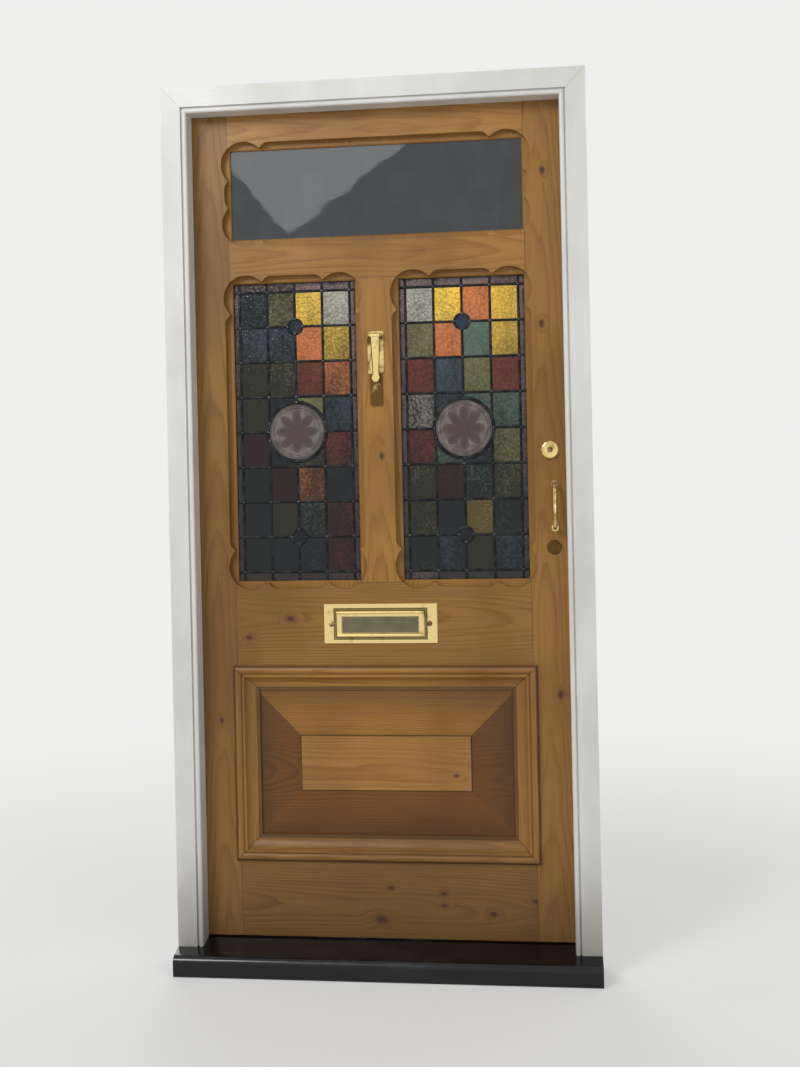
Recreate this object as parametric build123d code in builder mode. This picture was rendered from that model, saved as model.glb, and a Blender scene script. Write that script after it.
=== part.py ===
"""Panelled front door in its own frame: stripped pine leaf with shaped, leaded lights.

Millimetres. X runs to the right as seen from the street, Y into the house, Z up.
The origin is the middle of the underside of the sill. The street face of the leaf lies at Y = 0.
"""
import os
from math import sqrt

from build123d import *

# Leaf
LEAF_WIDTH = 914.0
LEAF_HEIGHT = 2007.0
LEAF_THICKNESS = 45.0
STILE_WIDTH = 98.0
MUNTIN_WIDTH = 98.0
BOTTOM_RAIL = 193.0
PANEL_HEIGHT = 454.0
LOCK_RAIL = 210.0
FRIEZE_RAIL = 100.0
TOP_LIGHT_HEIGHT = 225.0
TOP_RAIL = 90.0

# Clearances: across a moving gap, round a sliding piece and round a pin
RUNNING_GAP = 0.5
SLIDING_GAP = 0.3
PIN_CLEARANCE = 0.05

# Joints between stiles, rails and muntin
TENON_THICKNESS = 15.0
TENON_SHOULDER = 24.0
TENON_LENGTH = 66.0
MUNTIN_TENON = 40.0
MORTICE_END_GAP = 2.0

# Frame and sill
FRAME_FACE = 62.0
FRAME_FRONT = 50.0
STOP_WIDTH = 15.0
LEAF_GAP = 3.0
STOP_GAP = 0.5
STAFF_BEAD = 6.0
BEAD_QUIRK = 3.0
SILL_HEIGHT = 65.0
SILL_PROJECTION = 50.0
SILL_FALL = 17.0
SILL_NOSE = 18.0
SILL_GAP = 4.0

# Shaped openings of the three lights
LIP_DEPTH = 18.0
LOBE_RADIUS = 55.0
TOP_LOBE_SHARE = 0.245
LOBE_REACH = 15.0
CUSP_NOSE = 5.0
COVE_RADIUS = 22.0
RUN_RECESS = 12.0
SHORT_RUN_RECESS = 8.0

# Glazing rebates and beads
REBATE_REACH = 22.0
BEAD_COVER = 4.0
OUTER_BEAD_DEPTH = 6.0
BEAD_CHAMFER = 3.0
PANE_THICKNESS = 4.0
GLASS_EDGE_GAP = 2.0

# Leaded lights
BORDER_AT_SIDES = 19.0
BORDER_AT_ENDS = 25.5
QUARRY_COLUMNS = 4
QUARRY_ROWS = 8
CAME_WIDTH = 6.0
CAME_HEART = 1.6
CAME_LEAF = 1.0
EDGE_CAME = 9.0
QUARRY_THICKNESS = 3.0
ROUNDEL_RADIUS = 67.0
ROUNDEL_CAME = 9.0
SMALL_ROUNDEL_RADIUS = 15.0
SMALL_ROUNDEL_CAME = 6.0

# Bottom panel and its mouldings
PANEL_GROOVE = 10.0
PANEL_TONGUE = 9.0
PANEL_TONGUE_FRONT = 18.0
PANEL_EDGE_GAP = 1.5
FIELD_WIDTH = 413.0
FIELD_HEIGHT = 132.0
FIELD_FRONT = 7.0
FIELD_STEP = 3.0
MOULDING_WIDTH = 60.0
MOULDING_LAP = 10.0
MOULDING_RISE = 10.0
MOULDING_TORUS = 20.0
MOULDING_QUIRK = 2.0
MOULDING_FILLET = 5.0
MOULDING_COVE_SAG = 5.2
MOULDING_EDGE = (4.0, 6.0)
INNER_MOULDING = 16.0
INNER_MOULDING_EDGE = 4.0

# Butt hinges
LOW_HINGE_RISE = 225.0
TOP_HINGE_DROP = 217.0
HINGE_LENGTH = 100.0
HINGE_LEAF = 28.0
HINGE_PLATE = 2.5
KNUCKLES = 5
KNUCKLE_RADIUS = 6.5
KNUCKLE_GAP = 0.4
HINGE_PIN_RADIUS = 3.5
PIN_HEAD = (5.5, 3.0)
HINGE_SCREW_SPACING = 28.0
HINGE_SCREW_SETBACK = 16.8
SCREW_SIDES = 10
SCREW_RADIUS = 2.0
SCREW_HEAD_RADIUS = 4.0
SCREW_LENGTH = 25.0

# Letter plate, placed from the middle of the lock rail
LETTER_X = -5.0
LETTER_RISE = 6.0
LETTER_PLATE = (276.0, 96.0, 3.0)
LETTER_SLOT = (196.0, 44.0)
LETTER_RIM = 4.0
LETTER_RIM_RISE = 2.0
LETTER_FLAP = (206.0, 63.0)
FLAP_THICKNESS = 3.0
FLAP_BORDER = 8.0
FLAP_BORDER_RISE = 1.5
FLAP_LIP_RADIUS = 4.5
FLAP_PIVOT_RADIUS = 1.75
FLAP_KNUCKLE_RADIUS = 3.5
FLAP_EAR = 4.0
LETTER_BOLT_SPACING = 238.0
LETTER_BOLT_RADIUS = 3.0
LETTER_BOLT_HEAD = (6.5, 2.0)
LETTER_NUT_THICKNESS = 3.0
LETTER_CORNER = 2.0
LETTER_BACK_THICKNESS = 2.5

# Knocker, hung below the top of the muntin
KNOCKER_X = -3.0
KNOCKER_DROP = 130.0
KNOCKER_PLATE = (40.0, 104.0, 3.0)
KNOCKER_PIVOT_DROP = 12.0
KNOCKER_PIVOT_OUT = 12.0
KNOCKER_PIN_RADIUS = 2.5
KNOCKER_EAR = 4.0
KNOCKER_WIDTH = 22.0
KNOCKER_TAPER = 4.0
KNOCKER_LENGTH = 112.0
KNOCKER_THICKNESS = 7.0
KNOCKER_BULB = 9.0
STRIKER_PLATE = (30.0, 74.0, 3.0)
STRIKER_GAP = 2.0
KNOCKER_CORNER = 5.0
STRIKER_RADIUS = 7.0
STRIKE_GAP = 0.4

# Rim cylinder and nightlatch; the rise is from the top of the lock rail, which the deadlock clears
CYLINDER_BACKSET = 48.5
CYLINDER_RISE = 311.0
CYLINDER_RADIUS = 16.0
CYLINDER_RING_RADIUS = 22.5
CYLINDER_RING_RISE = 7.0
CYLINDER_FACE_RISE = 5.0
CYLINDER_RING_BEVEL = (3.0, 2.0)
CYLINDER_END_SETBACK = 2.0
PLUG_RADIUS = 6.5
KEYWAY = (2.2, 8.5)
KEYWAY_DEPTH = 20.0
TAILBAR = (6.0, 1.6)
LATCH_CASE = (90.0, 68.0, 25.0)
LATCH_EDGE_GAP = 0.5
LATCH_BACK_WALL = 5.0
LATCH_BOLT = (66.0, 24.0, 14.0)
LATCH_BEVEL = 9.0
LATCH_THROW = 14.0
LATCH_CASE_BEVEL = 2.0
LATCH_KNOB_RADIUS = 16.0
LATCH_KNOB_RISE = 22.0
LATCH_KNOB_FOOT = (11.2, 6.0)
LATCH_KNOB_WAIST = 8.0
LATCH_KNOB_BAND = 6.0
LATCH_KNOB_BEVEL = 3.0
LATCH_SPINDLE_RADIUS = 4.0
SNIB = (7.0, 5.0)
SNIB_BUTTON = (9.0, 8.0, 3.0)
SNIB_SLOT_DEPTH = 4.0
SNIB_TRAVEL = 8.0
SNIB_OFFSET = 22.0
STAPLE_WALL = 4.0
STAPLE_GAP = 0.5
STAPLE_REACH = 9.0
STAPLE_ROOM = (1.0, 1.5)

# Pull handle, hung below the cylinder
HANDLE_BACKSET = 40.0
HANDLE_DROP = 133.0
HANDLE_CENTRES = 104.0
HANDLE_FOOT_RADIUS = 8.5
HANDLE_FOOT_THICKNESS = 3.0
HANDLE_BAR_RADIUS = 4.5
HANDLE_REACH = 34.0
HANDLE_BEND = 16.0

# Mortice deadlock, below the handle
DEADLOCK_BACKSET = 43.0
DEADLOCK_DROP = 98.0
DEADLOCK_CASE = (62.0, 76.0, 14.0)
FOREND = (130.0, 22.0, 3.0)
DEADBOLT = (44.0, 25.0, 9.0)
DEADBOLT_OFFSET = 20.0
DEADBOLT_THROW = 14.0
KEEP_POCKET_MARGIN = 2.0
KEYHOLE_RADIUS = 3.5
KEYHOLE_DROP = 9.0
ESCUTCHEON_RADIUS = 17.0
ESCUTCHEON_THICKNESS = 3.0
COVER_RADIUS = 9.0
COVER_THICKNESS = 2.0
COVER_PIVOT = 9.5
COVER_DROP = 12.5
COVER_EYE = 2.5
COVER_RIVET_RADIUS = 1.8
COVER_RIVET_HEAD = 1.5

os.makedirs("parts", exist_ok=True)

# Places worked out from the sizes above
LEAF_HALF = LEAF_WIDTH / 2
LEAF_BASE = SILL_HEIGHT + SILL_GAP
LEAF_TOP = LEAF_BASE + LEAF_HEIGHT
STILE_INNER = LEAF_HALF - STILE_WIDTH
PANEL_BOTTOM = LEAF_BASE + BOTTOM_RAIL
PANEL_TOP = PANEL_BOTTOM + PANEL_HEIGHT
LIGHT_BOTTOM = PANEL_TOP + LOCK_RAIL
TOP_LIGHT_TOP = LEAF_TOP - TOP_RAIL
TOP_LIGHT_BOTTOM = TOP_LIGHT_TOP - TOP_LIGHT_HEIGHT
LIGHT_TOP = TOP_LIGHT_BOTTOM - FRIEZE_RAIL
LIGHT_WIDTH = STILE_INNER - MUNTIN_WIDTH / 2
LIGHT_HEIGHT = LIGHT_TOP - LIGHT_BOTTOM
LIGHT_X = (STILE_INNER + MUNTIN_WIDTH / 2) / 2
LIGHT_Z = (LIGHT_BOTTOM + LIGHT_TOP) / 2
QUARRY_WIDTH = (LIGHT_WIDTH - 2 * BORDER_AT_SIDES) / QUARRY_COLUMNS
QUARRY_HEIGHT = (LIGHT_HEIGHT - 2 * BORDER_AT_ENDS) / QUARRY_ROWS
TENON_FRONT = (LEAF_THICKNESS - TENON_THICKNESS) / 2
GLASS_FRONT = LIP_DEPTH + OUTER_BEAD_DEPTH
CAME_DEPTH = QUARRY_THICKNESS + 2 * CAME_LEAF
FRAME_BACK = LEAF_THICKNESS
REBATE_X = LEAF_HALF + LEAF_GAP
FRAME_HALF = REBATE_X - STOP_WIDTH + FRAME_FACE
FRAME_TOP = LEAF_TOP + LEAF_GAP - STOP_WIDTH + FRAME_FACE
PANEL_Z = (PANEL_BOTTOM + PANEL_TOP) / 2
INTO_HOUSE = Vector(0, 1, 0)

# Each glazed opening: name, middle in X and Z, width and height between its cusps
LIGHTS = {
    "left": (-LIGHT_X, LIGHT_Z, LIGHT_WIDTH, LIGHT_HEIGHT),
    "right": (LIGHT_X, LIGHT_Z, LIGHT_WIDTH, LIGHT_HEIGHT),
    "top": (0.0, (TOP_LIGHT_BOTTOM + TOP_LIGHT_TOP) / 2, 2 * STILE_INNER, TOP_LIGHT_HEIGHT),
}


def save(piece, name):
    """Label a finished piece and write it."""
    piece.part.label = name
    export_step(piece.part, f"parts/{name}.step")


def save_group(pieces, name):
    """Write several separate pieces as one node."""
    group = Compound(label=name, children=[piece.part.solid() for piece in pieces])
    export_step(group, f"parts/{name}.step")


def facing(x, y, z):
    """A plane that looks at the street, with its origin at the given point."""
    return Plane(origin=(x, y, z), x_dir=(1, 0, 0), z_dir=(0, -1, 0))


def block(x, y, z, mode=Mode.ADD):
    """A squared block between two limits on each axis."""
    middle = tuple((low + high) / 2 for low, high in (x, y, z))
    with Locations(middle):
        Box(*(high - low for low, high in (x, y, z)), mode=mode)


def round_bar(centre, axis, radius, length, mode=Mode.ADD):
    """A round bar that starts at a centre and runs along an axis."""
    with BuildSketch(Plane(origin=centre, z_dir=axis)) as disc:
        Circle(radius)
    extrude(disc.sketch, amount=length, mode=mode)


def outline(*points):
    """A sketch bounded by straight lines between points."""
    with BuildSketch() as drawn:
        with BuildLine():
            Polyline(*points, close=True)
        make_face()
    return drawn.sketch


def strip(section, side, middle, half_width, half_height, mitres=(-1, 1)):
    """One moulded strip of a rectangular surround.

    The section's first axis points from the surround's outer edge to its middle, and its second
    axis into the house. The ends named in mitres are cut at 45 degrees through the outer corners.
    """
    inward = {"top": Vector(0, 0, -1), "bottom": Vector(0, 0, 1), "left": Vector(1, 0, 0),
              "right": Vector(-1, 0, 0)}[side]
    along = inward.cross(INTO_HOUSE)
    level = side in ("top", "bottom")
    reach, half_run = (half_height, half_width) if level else (half_width, half_height)
    origin = Vector(middle[0], 0, middle[1]) - inward * reach
    with BuildPart() as piece:
        with BuildSketch(Plane(origin=origin, x_dir=inward, z_dir=along)):
            add(section)
        extrude(amount=half_run, both=True)
        for end in mitres:
            corner = origin + along * (half_run * end)
            split(bisect_by=Plane(origin=corner, z_dir=inward + along * end), keep=Keep.BOTTOM)
    return piece


# Openings of the lights
def cove_length(recess):
    """Length of a cove that falls from a cusp to a run recessed by this much."""
    return sqrt(2 * COVE_RADIUS * recess - recess ** 2)


def shaped_outline(width, height, lobe, side_recess):
    """A sketch of the lobed and cusped outline of a light, with its lobes' radius.

    Each corner is a round lobe between two cusps. The cusps stand on the edges of the members,
    and coves carry the outline back to the straight runs between them.
    """
    tip_x, tip_z = width / 2, height / 2
    lobe_x, lobe_z = tip_x + LOBE_REACH - lobe, tip_z + LOBE_REACH - lobe
    chord = sqrt(2 * lobe * LOBE_REACH - LOBE_REACH ** 2)
    side_tip, top_tip = lobe_z - chord, lobe_x - chord
    side_cove = side_tip - CUSP_NOSE - cove_length(side_recess)
    top_cove = top_tip - CUSP_NOSE - cove_length(RUN_RECESS)
    diagonal = lobe / sqrt(2)
    with BuildSketch() as shape:
        with BuildLine():
            Line((tip_x + side_recess, 0), (tip_x + side_recess, side_cove))
            TangentArc((tip_x + side_recess, side_cove), (tip_x, side_tip - CUSP_NOSE), tangent=(0, 1))
            Line((tip_x, side_tip - CUSP_NOSE), (tip_x, side_tip))
            ThreePointArc((tip_x, side_tip), (lobe_x + diagonal, lobe_z + diagonal), (top_tip, tip_z))
            Line((top_tip, tip_z), (top_tip - CUSP_NOSE, tip_z))
            TangentArc((top_cove, tip_z + RUN_RECESS), (top_tip - CUSP_NOSE, tip_z), tangent=(1, 0))
            Line((top_cove, tip_z + RUN_RECESS), (0, tip_z + RUN_RECESS))
            mirror(about=Plane.YZ)
            mirror(about=Plane.XZ)
        make_face()
    return shape.sketch


TALL_OUTLINE = shaped_outline(LIGHT_WIDTH, LIGHT_HEIGHT, LOBE_RADIUS, RUN_RECESS)
OUTLINES = {
    "left": TALL_OUTLINE,
    "right": TALL_OUTLINE,
    "top": shaped_outline(2 * STILE_INNER, TOP_LIGHT_HEIGHT, TOP_LIGHT_HEIGHT * TOP_LOBE_SHARE,
                          SHORT_RUN_RECESS),
}

with BuildPart() as light_cutter:
    for name, (light_x, light_z, light_width, light_height) in LIGHTS.items():
        with BuildSketch(facing(light_x, 0, light_z)):
            add(OUTLINES[name])
        extrude(amount=-LIP_DEPTH)
        with BuildSketch(facing(light_x, LIP_DEPTH, light_z)):
            Rectangle(light_width + 2 * REBATE_REACH, light_height + 2 * REBATE_REACH)
        extrude(amount=LIP_DEPTH - LEAF_THICKNESS)

with BuildPart() as panel_groove_cutter:
    block((-STILE_INNER - PANEL_GROOVE, STILE_INNER + PANEL_GROOVE),
          (PANEL_TONGUE_FRONT, PANEL_TONGUE_FRONT + PANEL_TONGUE),
          (PANEL_BOTTOM - PANEL_GROOVE, PANEL_TOP + PANEL_GROOVE))

# Frame and sill
POST_FACE_WIDTH = FRAME_FACE - STOP_WIDTH


def stop_section():
    """A planted stop, from the member's outer edge inwards: quirk, staff bead and rebate face."""
    foot = POST_FACE_WIDTH
    bead_top = -FRAME_FRONT + STAFF_BEAD
    with BuildSketch() as section:
        with BuildLine():
            Line((foot, bead_top), (foot + BEAD_QUIRK, bead_top))
            ThreePointArc((foot + BEAD_QUIRK, bead_top), (FRAME_FACE - STAFF_BEAD, -FRAME_FRONT),
                          (FRAME_FACE, bead_top))
            Polyline((FRAME_FACE, bead_top), (FRAME_FACE, -STOP_GAP), (foot, -STOP_GAP),
                     (foot, bead_top))
        make_face()
    return section.sketch


SILL_FRONT = -FRAME_FRONT - SILL_PROJECTION

with BuildPart() as threshold:
    with BuildSketch(Plane.YZ) as sill_section:
        with BuildLine():
            Polyline((FRAME_BACK, 0), (FRAME_BACK, SILL_HEIGHT), (-STOP_GAP, SILL_HEIGHT),
                     (SILL_FRONT, SILL_HEIGHT - SILL_FALL), (SILL_FRONT, 0), close=True)
        make_face()
        front = sill_section.vertices().group_by(Axis.X)[0]
        fillet(front.sort_by(Axis.Y)[-1], SILL_NOSE)
        fillet(sill_section.vertices().group_by(Axis.X)[0].sort_by(Axis.Y)[0], SILL_NOSE / 3)
    extrude(amount=FRAME_HALF, both=True)

FRAME_MIDDLE = (0, FRAME_TOP / 2)
FRAME_SIDES = {"top": (-1, 1), "left": (1,), "right": (-1,)}


def frame_strip(section, side):
    """A member of the frame, mitred at the head and scribed over the sill."""
    piece = strip(section, side, FRAME_MIDDLE, FRAME_HALF, FRAME_TOP / 2, FRAME_SIDES[side])
    with piece:
        add(threshold.part, mode=Mode.SUBTRACT)
    return piece


post_profile = outline((0, -FRAME_FRONT), (POST_FACE_WIDTH, -FRAME_FRONT), (POST_FACE_WIDTH, FRAME_BACK),
                       (0, FRAME_BACK))
stop_profile = stop_section()
frame_head = frame_strip(post_profile, "top")
hinge_post = frame_strip(post_profile, "left")
lock_post = frame_strip(post_profile, "right")

save(threshold, "threshold")
save(frame_head, "frame_head")
save_group([frame_strip(stop_profile, side) for side in FRAME_SIDES], "door_stops")


# Leaf timbers
def stile(side):
    """A stile with its mortices; side is -1 on the hinge edge and 1 on the lock edge."""
    edge = sorted((side * STILE_INNER, side * LEAF_HALF))
    mortice_x = sorted((side * STILE_INNER, side * (STILE_INNER + TENON_LENGTH + MORTICE_END_GAP)))
    tenon_y = (TENON_FRONT, TENON_FRONT + TENON_THICKNESS)
    with BuildPart() as piece:
        block(edge, (0, LEAF_THICKNESS), (LEAF_BASE, LEAF_TOP))
        for low, high in RAILS.values():
            block(mortice_x, tenon_y, (low + TENON_SHOULDER, high - TENON_SHOULDER), Mode.SUBTRACT)
        add(light_cutter.part, mode=Mode.SUBTRACT)
        add(panel_groove_cutter.part, mode=Mode.SUBTRACT)
    return piece


def rail(low, high, mortice=0):
    """A rail with a tenon at each end; mortice is 1 for the muntin above it and -1 below."""
    tenon_y = (TENON_FRONT, TENON_FRONT + TENON_THICKNESS)
    reach = STILE_INNER + TENON_LENGTH
    with BuildPart() as piece:
        block((-STILE_INNER, STILE_INNER), (0, LEAF_THICKNESS), (low, high))
        block((-reach, reach), tenon_y, (low + TENON_SHOULDER, high - TENON_SHOULDER))
        if mortice:
            edge = high if mortice > 0 else low
            depth = sorted((edge, edge - mortice * (MUNTIN_TENON + MORTICE_END_GAP)))
            width = MUNTIN_WIDTH / 2 - TENON_SHOULDER
            block((-width, width), tenon_y, depth, Mode.SUBTRACT)
        add(light_cutter.part, mode=Mode.SUBTRACT)
        add(panel_groove_cutter.part, mode=Mode.SUBTRACT)
    return piece


RAILS = {
    "bottom_rail": (LEAF_BASE, PANEL_BOTTOM),
    "lock_rail": (PANEL_TOP, LIGHT_BOTTOM),
    "frieze_rail": (LIGHT_TOP, TOP_LIGHT_BOTTOM),
    "top_rail": (TOP_LIGHT_TOP, LEAF_TOP),
}

hinge_stile = stile(-1)
lock_stile = stile(1)
bottom_rail = rail(*RAILS["bottom_rail"])
lock_rail = rail(*RAILS["lock_rail"], mortice=1)
frieze_rail = rail(*RAILS["frieze_rail"], mortice=-1)
top_rail = rail(*RAILS["top_rail"])

with BuildPart() as muntin:
    half = MUNTIN_WIDTH / 2
    block((-half, half), (0, LEAF_THICKNESS), (LIGHT_BOTTOM, LIGHT_TOP))
    block((TENON_SHOULDER - half, half - TENON_SHOULDER),
          (TENON_FRONT, TENON_FRONT + TENON_THICKNESS),
          (LIGHT_BOTTOM - MUNTIN_TENON, LIGHT_TOP + MUNTIN_TENON))
    add(light_cutter.part, mode=Mode.SUBTRACT)

for timber, name in ((bottom_rail, "bottom_rail"), (frieze_rail, "frieze_rail"),
                     (top_rail, "top_rail"), (muntin, "muntin")):
    save(timber, name)

# Fielded panel
MOULDING_INNER_X = STILE_INNER + MOULDING_LAP - MOULDING_WIDTH
MOULDING_INNER_Z = PANEL_HEIGHT / 2 + MOULDING_LAP - MOULDING_WIDTH
BEVEL_TOP = FIELD_FRONT + FIELD_STEP
BEVEL_RISE = PANEL_TONGUE_FRONT - BEVEL_TOP
TONGUE_REACH = PANEL_GROOVE - PANEL_EDGE_GAP

with BuildPart() as bottom_panel:
    block((-MOULDING_INNER_X, MOULDING_INNER_X), (BEVEL_TOP, PANEL_TONGUE_FRONT),
          (PANEL_Z - MOULDING_INNER_Z, PANEL_Z + MOULDING_INNER_Z))
    for outward, sight_edge, field_edge in (
            (Vector(1, 0, 0), MOULDING_INNER_X, FIELD_WIDTH / 2),
            (Vector(-1, 0, 0), MOULDING_INNER_X, FIELD_WIDTH / 2),
            (Vector(0, 0, 1), MOULDING_INNER_Z, FIELD_HEIGHT / 2),
            (Vector(0, 0, -1), MOULDING_INNER_Z, FIELD_HEIGHT / 2)):
        bevel_foot = Vector(0, PANEL_TONGUE_FRONT, PANEL_Z) + outward * sight_edge
        bevel_normal = outward * BEVEL_RISE - INTO_HOUSE * (sight_edge - field_edge)
        split(bisect_by=Plane(origin=bevel_foot, z_dir=bevel_normal), keep=Keep.BOTTOM)
    block((-STILE_INNER - TONGUE_REACH, STILE_INNER + TONGUE_REACH),
          (PANEL_TONGUE_FRONT, PANEL_TONGUE_FRONT + PANEL_TONGUE),
          (PANEL_BOTTOM - TONGUE_REACH, PANEL_TOP + TONGUE_REACH))
    with BuildSketch(facing(0, FIELD_FRONT, PANEL_Z)):
        Rectangle(FIELD_WIDTH, FIELD_HEIGHT)
    extrude(amount=-FIELD_STEP)
save(bottom_panel, "bottom_panel")


def bolection_section():
    """The raised moulding round the panel: a torus over the edge, a quirk, a fillet and a cove."""
    rise, lap, width = MOULDING_RISE, MOULDING_LAP, MOULDING_WIDTH
    bed = PANEL_TONGUE_FRONT
    quirk_end = MOULDING_TORUS + MOULDING_QUIRK
    cove_start = (quirk_end + MOULDING_FILLET, -rise * 0.6)
    edge_width, edge_height = MOULDING_EDGE
    cove_end = (width - edge_width, bed - edge_height)
    with BuildSketch() as section:
        with BuildLine():
            Polyline((lap, bed), (lap, 0), (0, 0), (0, -rise / 3))
            ThreePointArc((0, -rise / 3), (MOULDING_TORUS / 2, -rise), (MOULDING_TORUS, -rise / 3))
            Polyline((MOULDING_TORUS, -rise / 3), (quirk_end, -rise / 3), (quirk_end, cove_start[1]),
                     cove_start)
            SagittaArc(cove_start, cove_end, MOULDING_COVE_SAG)
            Polyline(cove_end, (width, bed - edge_height), (width, bed), (lap, bed))
        make_face()
    return section.sketch


moulding_profile = bolection_section()
for side in ("top", "bottom", "left", "right"):
    moulding = strip(moulding_profile, side, (0, PANEL_Z), STILE_INNER + MOULDING_LAP,
                     PANEL_HEIGHT / 2 + MOULDING_LAP)
    save(moulding, f"panel_moulding_{side}")

PANEL_BACK = PANEL_TONGUE_FRONT + PANEL_TONGUE
inner_edge = INNER_MOULDING_EDGE
inner_profile = outline((0, PANEL_BACK), (INNER_MOULDING, PANEL_BACK),
                        (INNER_MOULDING, PANEL_BACK + inner_edge),
                        (INNER_MOULDING / 2, LEAF_THICKNESS - inner_edge), (inner_edge, LEAF_THICKNESS),
                        (0, LEAF_THICKNESS))
inner_sides = [strip(inner_profile, side, (0, PANEL_Z), STILE_INNER, PANEL_HEIGHT / 2)
               for side in ("top", "bottom", "left", "right")]
save_group(inner_sides, "inner_panel_mouldings")


# Glazing
def bead_profile(front, back, chamfer_front):
    """A glazing bead between two depths, with its sight edge chamfered on one side."""
    width = REBATE_REACH + BEAD_COVER
    if chamfer_front:
        return outline((0, front), (width - BEAD_CHAMFER, front), (width, front + BEAD_CHAMFER),
                       (width, back), (0, back))
    return outline((0, front), (width, front), (width, back - 2 * BEAD_CHAMFER),
                   (width - 2 * BEAD_CHAMFER, back), (0, back))


def bead_frame(name, profile):
    """Four mitred beads in the rebate of a light."""
    light_x, light_z, width, height = LIGHTS[name]
    return [strip(profile, side, (light_x, light_z), width / 2 + REBATE_REACH,
                  height / 2 + REBATE_REACH) for side in ("top", "bottom", "left", "right")]


outer_profile = bead_profile(LIP_DEPTH, GLASS_FRONT, True)
leaded_profile = bead_profile(GLASS_FRONT + CAME_DEPTH, LEAF_THICKNESS, False)
pane_profile = bead_profile(GLASS_FRONT + PANE_THICKNESS, LEAF_THICKNESS, False)
outer_frames = [bead for name in LIGHTS for bead in bead_frame(name, outer_profile)]
inner_frames = [bead for name in LIGHTS
                for bead in bead_frame(name, pane_profile if name == "top" else leaded_profile)]
save_group(outer_frames, "outer_beads")
save_group(inner_frames, "inner_beads")

with BuildPart() as top_light_pane:
    with BuildSketch(facing(0, GLASS_FRONT, LIGHTS["top"][1])):
        Rectangle(2 * STILE_INNER + 2 * (REBATE_REACH - GLASS_EDGE_GAP),
                  TOP_LIGHT_HEIGHT + 2 * (REBATE_REACH - GLASS_EDGE_GAP))
    extrude(amount=-PANE_THICKNESS)
save(top_light_pane, "top_light_pane")

# Leaded lights
PANEL_HALF_WIDTH = LIGHT_WIDTH / 2 + REBATE_REACH - GLASS_EDGE_GAP
PANEL_HALF_HEIGHT = LIGHT_HEIGHT / 2 + REBATE_REACH - GLASS_EDGE_GAP
COLUMN_LINES = [(column - QUARRY_COLUMNS / 2) * QUARRY_WIDTH for column in range(QUARRY_COLUMNS + 1)]
ROW_LINES = [(row - QUARRY_ROWS / 2) * QUARRY_HEIGHT for row in range(QUARRY_ROWS + 1)]
SMALL_ROUNDEL_ROW = QUARRY_ROWS / 2 - 1
ROUNDELS = [(0.0, ROUNDEL_RADIUS, ROUNDEL_CAME)]
ROUNDELS += [(side * SMALL_ROUNDEL_ROW * QUARRY_HEIGHT, SMALL_ROUNDEL_RADIUS, SMALL_ROUNDEL_CAME)
             for side in (-1, 1)]


def cell_sizes(came, edge):
    """Cells between the cames, gathered by size: (width, height) to a list of (column, row, x, z)."""
    x_lines = [-PANEL_HALF_WIDTH, *COLUMN_LINES, PANEL_HALF_WIDTH]
    z_lines = [-PANEL_HALF_HEIGHT, *ROW_LINES, PANEL_HALF_HEIGHT]
    sizes = {}
    for column, (left, right) in enumerate(zip(x_lines, x_lines[1:])):
        left += edge if column == 0 else came / 2
        right -= edge if column == QUARRY_COLUMNS + 1 else came / 2
        for row, (low, high) in enumerate(zip(z_lines, z_lines[1:])):
            low += edge if row == 0 else came / 2
            high -= edge if row == QUARRY_ROWS + 1 else came / 2
            size = (round(right - left, 6), round(high - low, 6))
            sizes.setdefault(size, []).append((column, row, (left + right) / 2, (low + high) / 2))
    return sizes


def came_pattern(came, edge, ring):
    """The lead pattern for a came of this width; ring widens or narrows the rounds to match."""
    with BuildSketch() as pattern:
        Rectangle(2 * PANEL_HALF_WIDTH, 2 * PANEL_HALF_HEIGHT)
        for size, places in cell_sizes(came, edge).items():
            with Locations(*((x, z) for _, _, x, z in places)):
                Rectangle(*size, mode=Mode.SUBTRACT)
        for height, radius, width in ROUNDELS:
            with Locations((0, height)):
                Circle(radius + width - ring)
                Circle(radius + ring, mode=Mode.SUBTRACT)
    return pattern.sketch


CAME_COVER = (CAME_WIDTH - CAME_HEART) / 2
face_pattern = came_pattern(CAME_WIDTH, EDGE_CAME, 0)
heart_pattern = came_pattern(CAME_HEART, EDGE_CAME - CAME_COVER, CAME_COVER)


def leaded_frame(side):
    """The soldered lattice of one light: H-section lead, with the heart between the two faces."""
    light_x, light_z, _, _ = LIGHTS[side]
    with BuildPart() as cames:
        with BuildSketch(facing(light_x, GLASS_FRONT, light_z)):
            add(face_pattern)
        extrude(amount=-CAME_LEAF)
        with BuildSketch(facing(light_x, GLASS_FRONT + CAME_LEAF, light_z)):
            add(heart_pattern)
        extrude(amount=-QUARRY_THICKNESS)
        with BuildSketch(facing(light_x, GLASS_FRONT + CAME_LEAF + QUARRY_THICKNESS, light_z)):
            add(face_pattern)
        extrude(amount=-CAME_LEAF)
    return cames


save_group([leaded_frame(side) for side in ("left", "right")], "light_cames")

# Glass of each quarry from the top row down: C clear, A amber, O orange, R ruby,
# V olive, G green, B blue. The round and the border glass are nodes of their own.
QUARRY_LAYOUT = {
    "left": ("BVAC", "BBOA", "VVRO", "VBVB", "RBVR", "GROB", "BVGR", "GBBR"),
    "right": ("CAOA", "VOGA", "RBVR", "CBGG", "RGBV", "VRGV", "VBAG", "GBVB"),
}
GLASS_KINDS = {"C": "clear", "A": "amber", "O": "orange", "R": "ruby", "V": "olive", "G": "green",
               "B": "blue"}


def glass_of(side, column, row):
    """Kind of glass in a cell; the outermost cells are the border."""
    if column in (0, QUARRY_COLUMNS + 1) or row in (0, QUARRY_ROWS + 1):
        return "border"
    return GLASS_KINDS[QUARRY_LAYOUT[side][QUARRY_ROWS - row][column - 1]]


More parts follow.
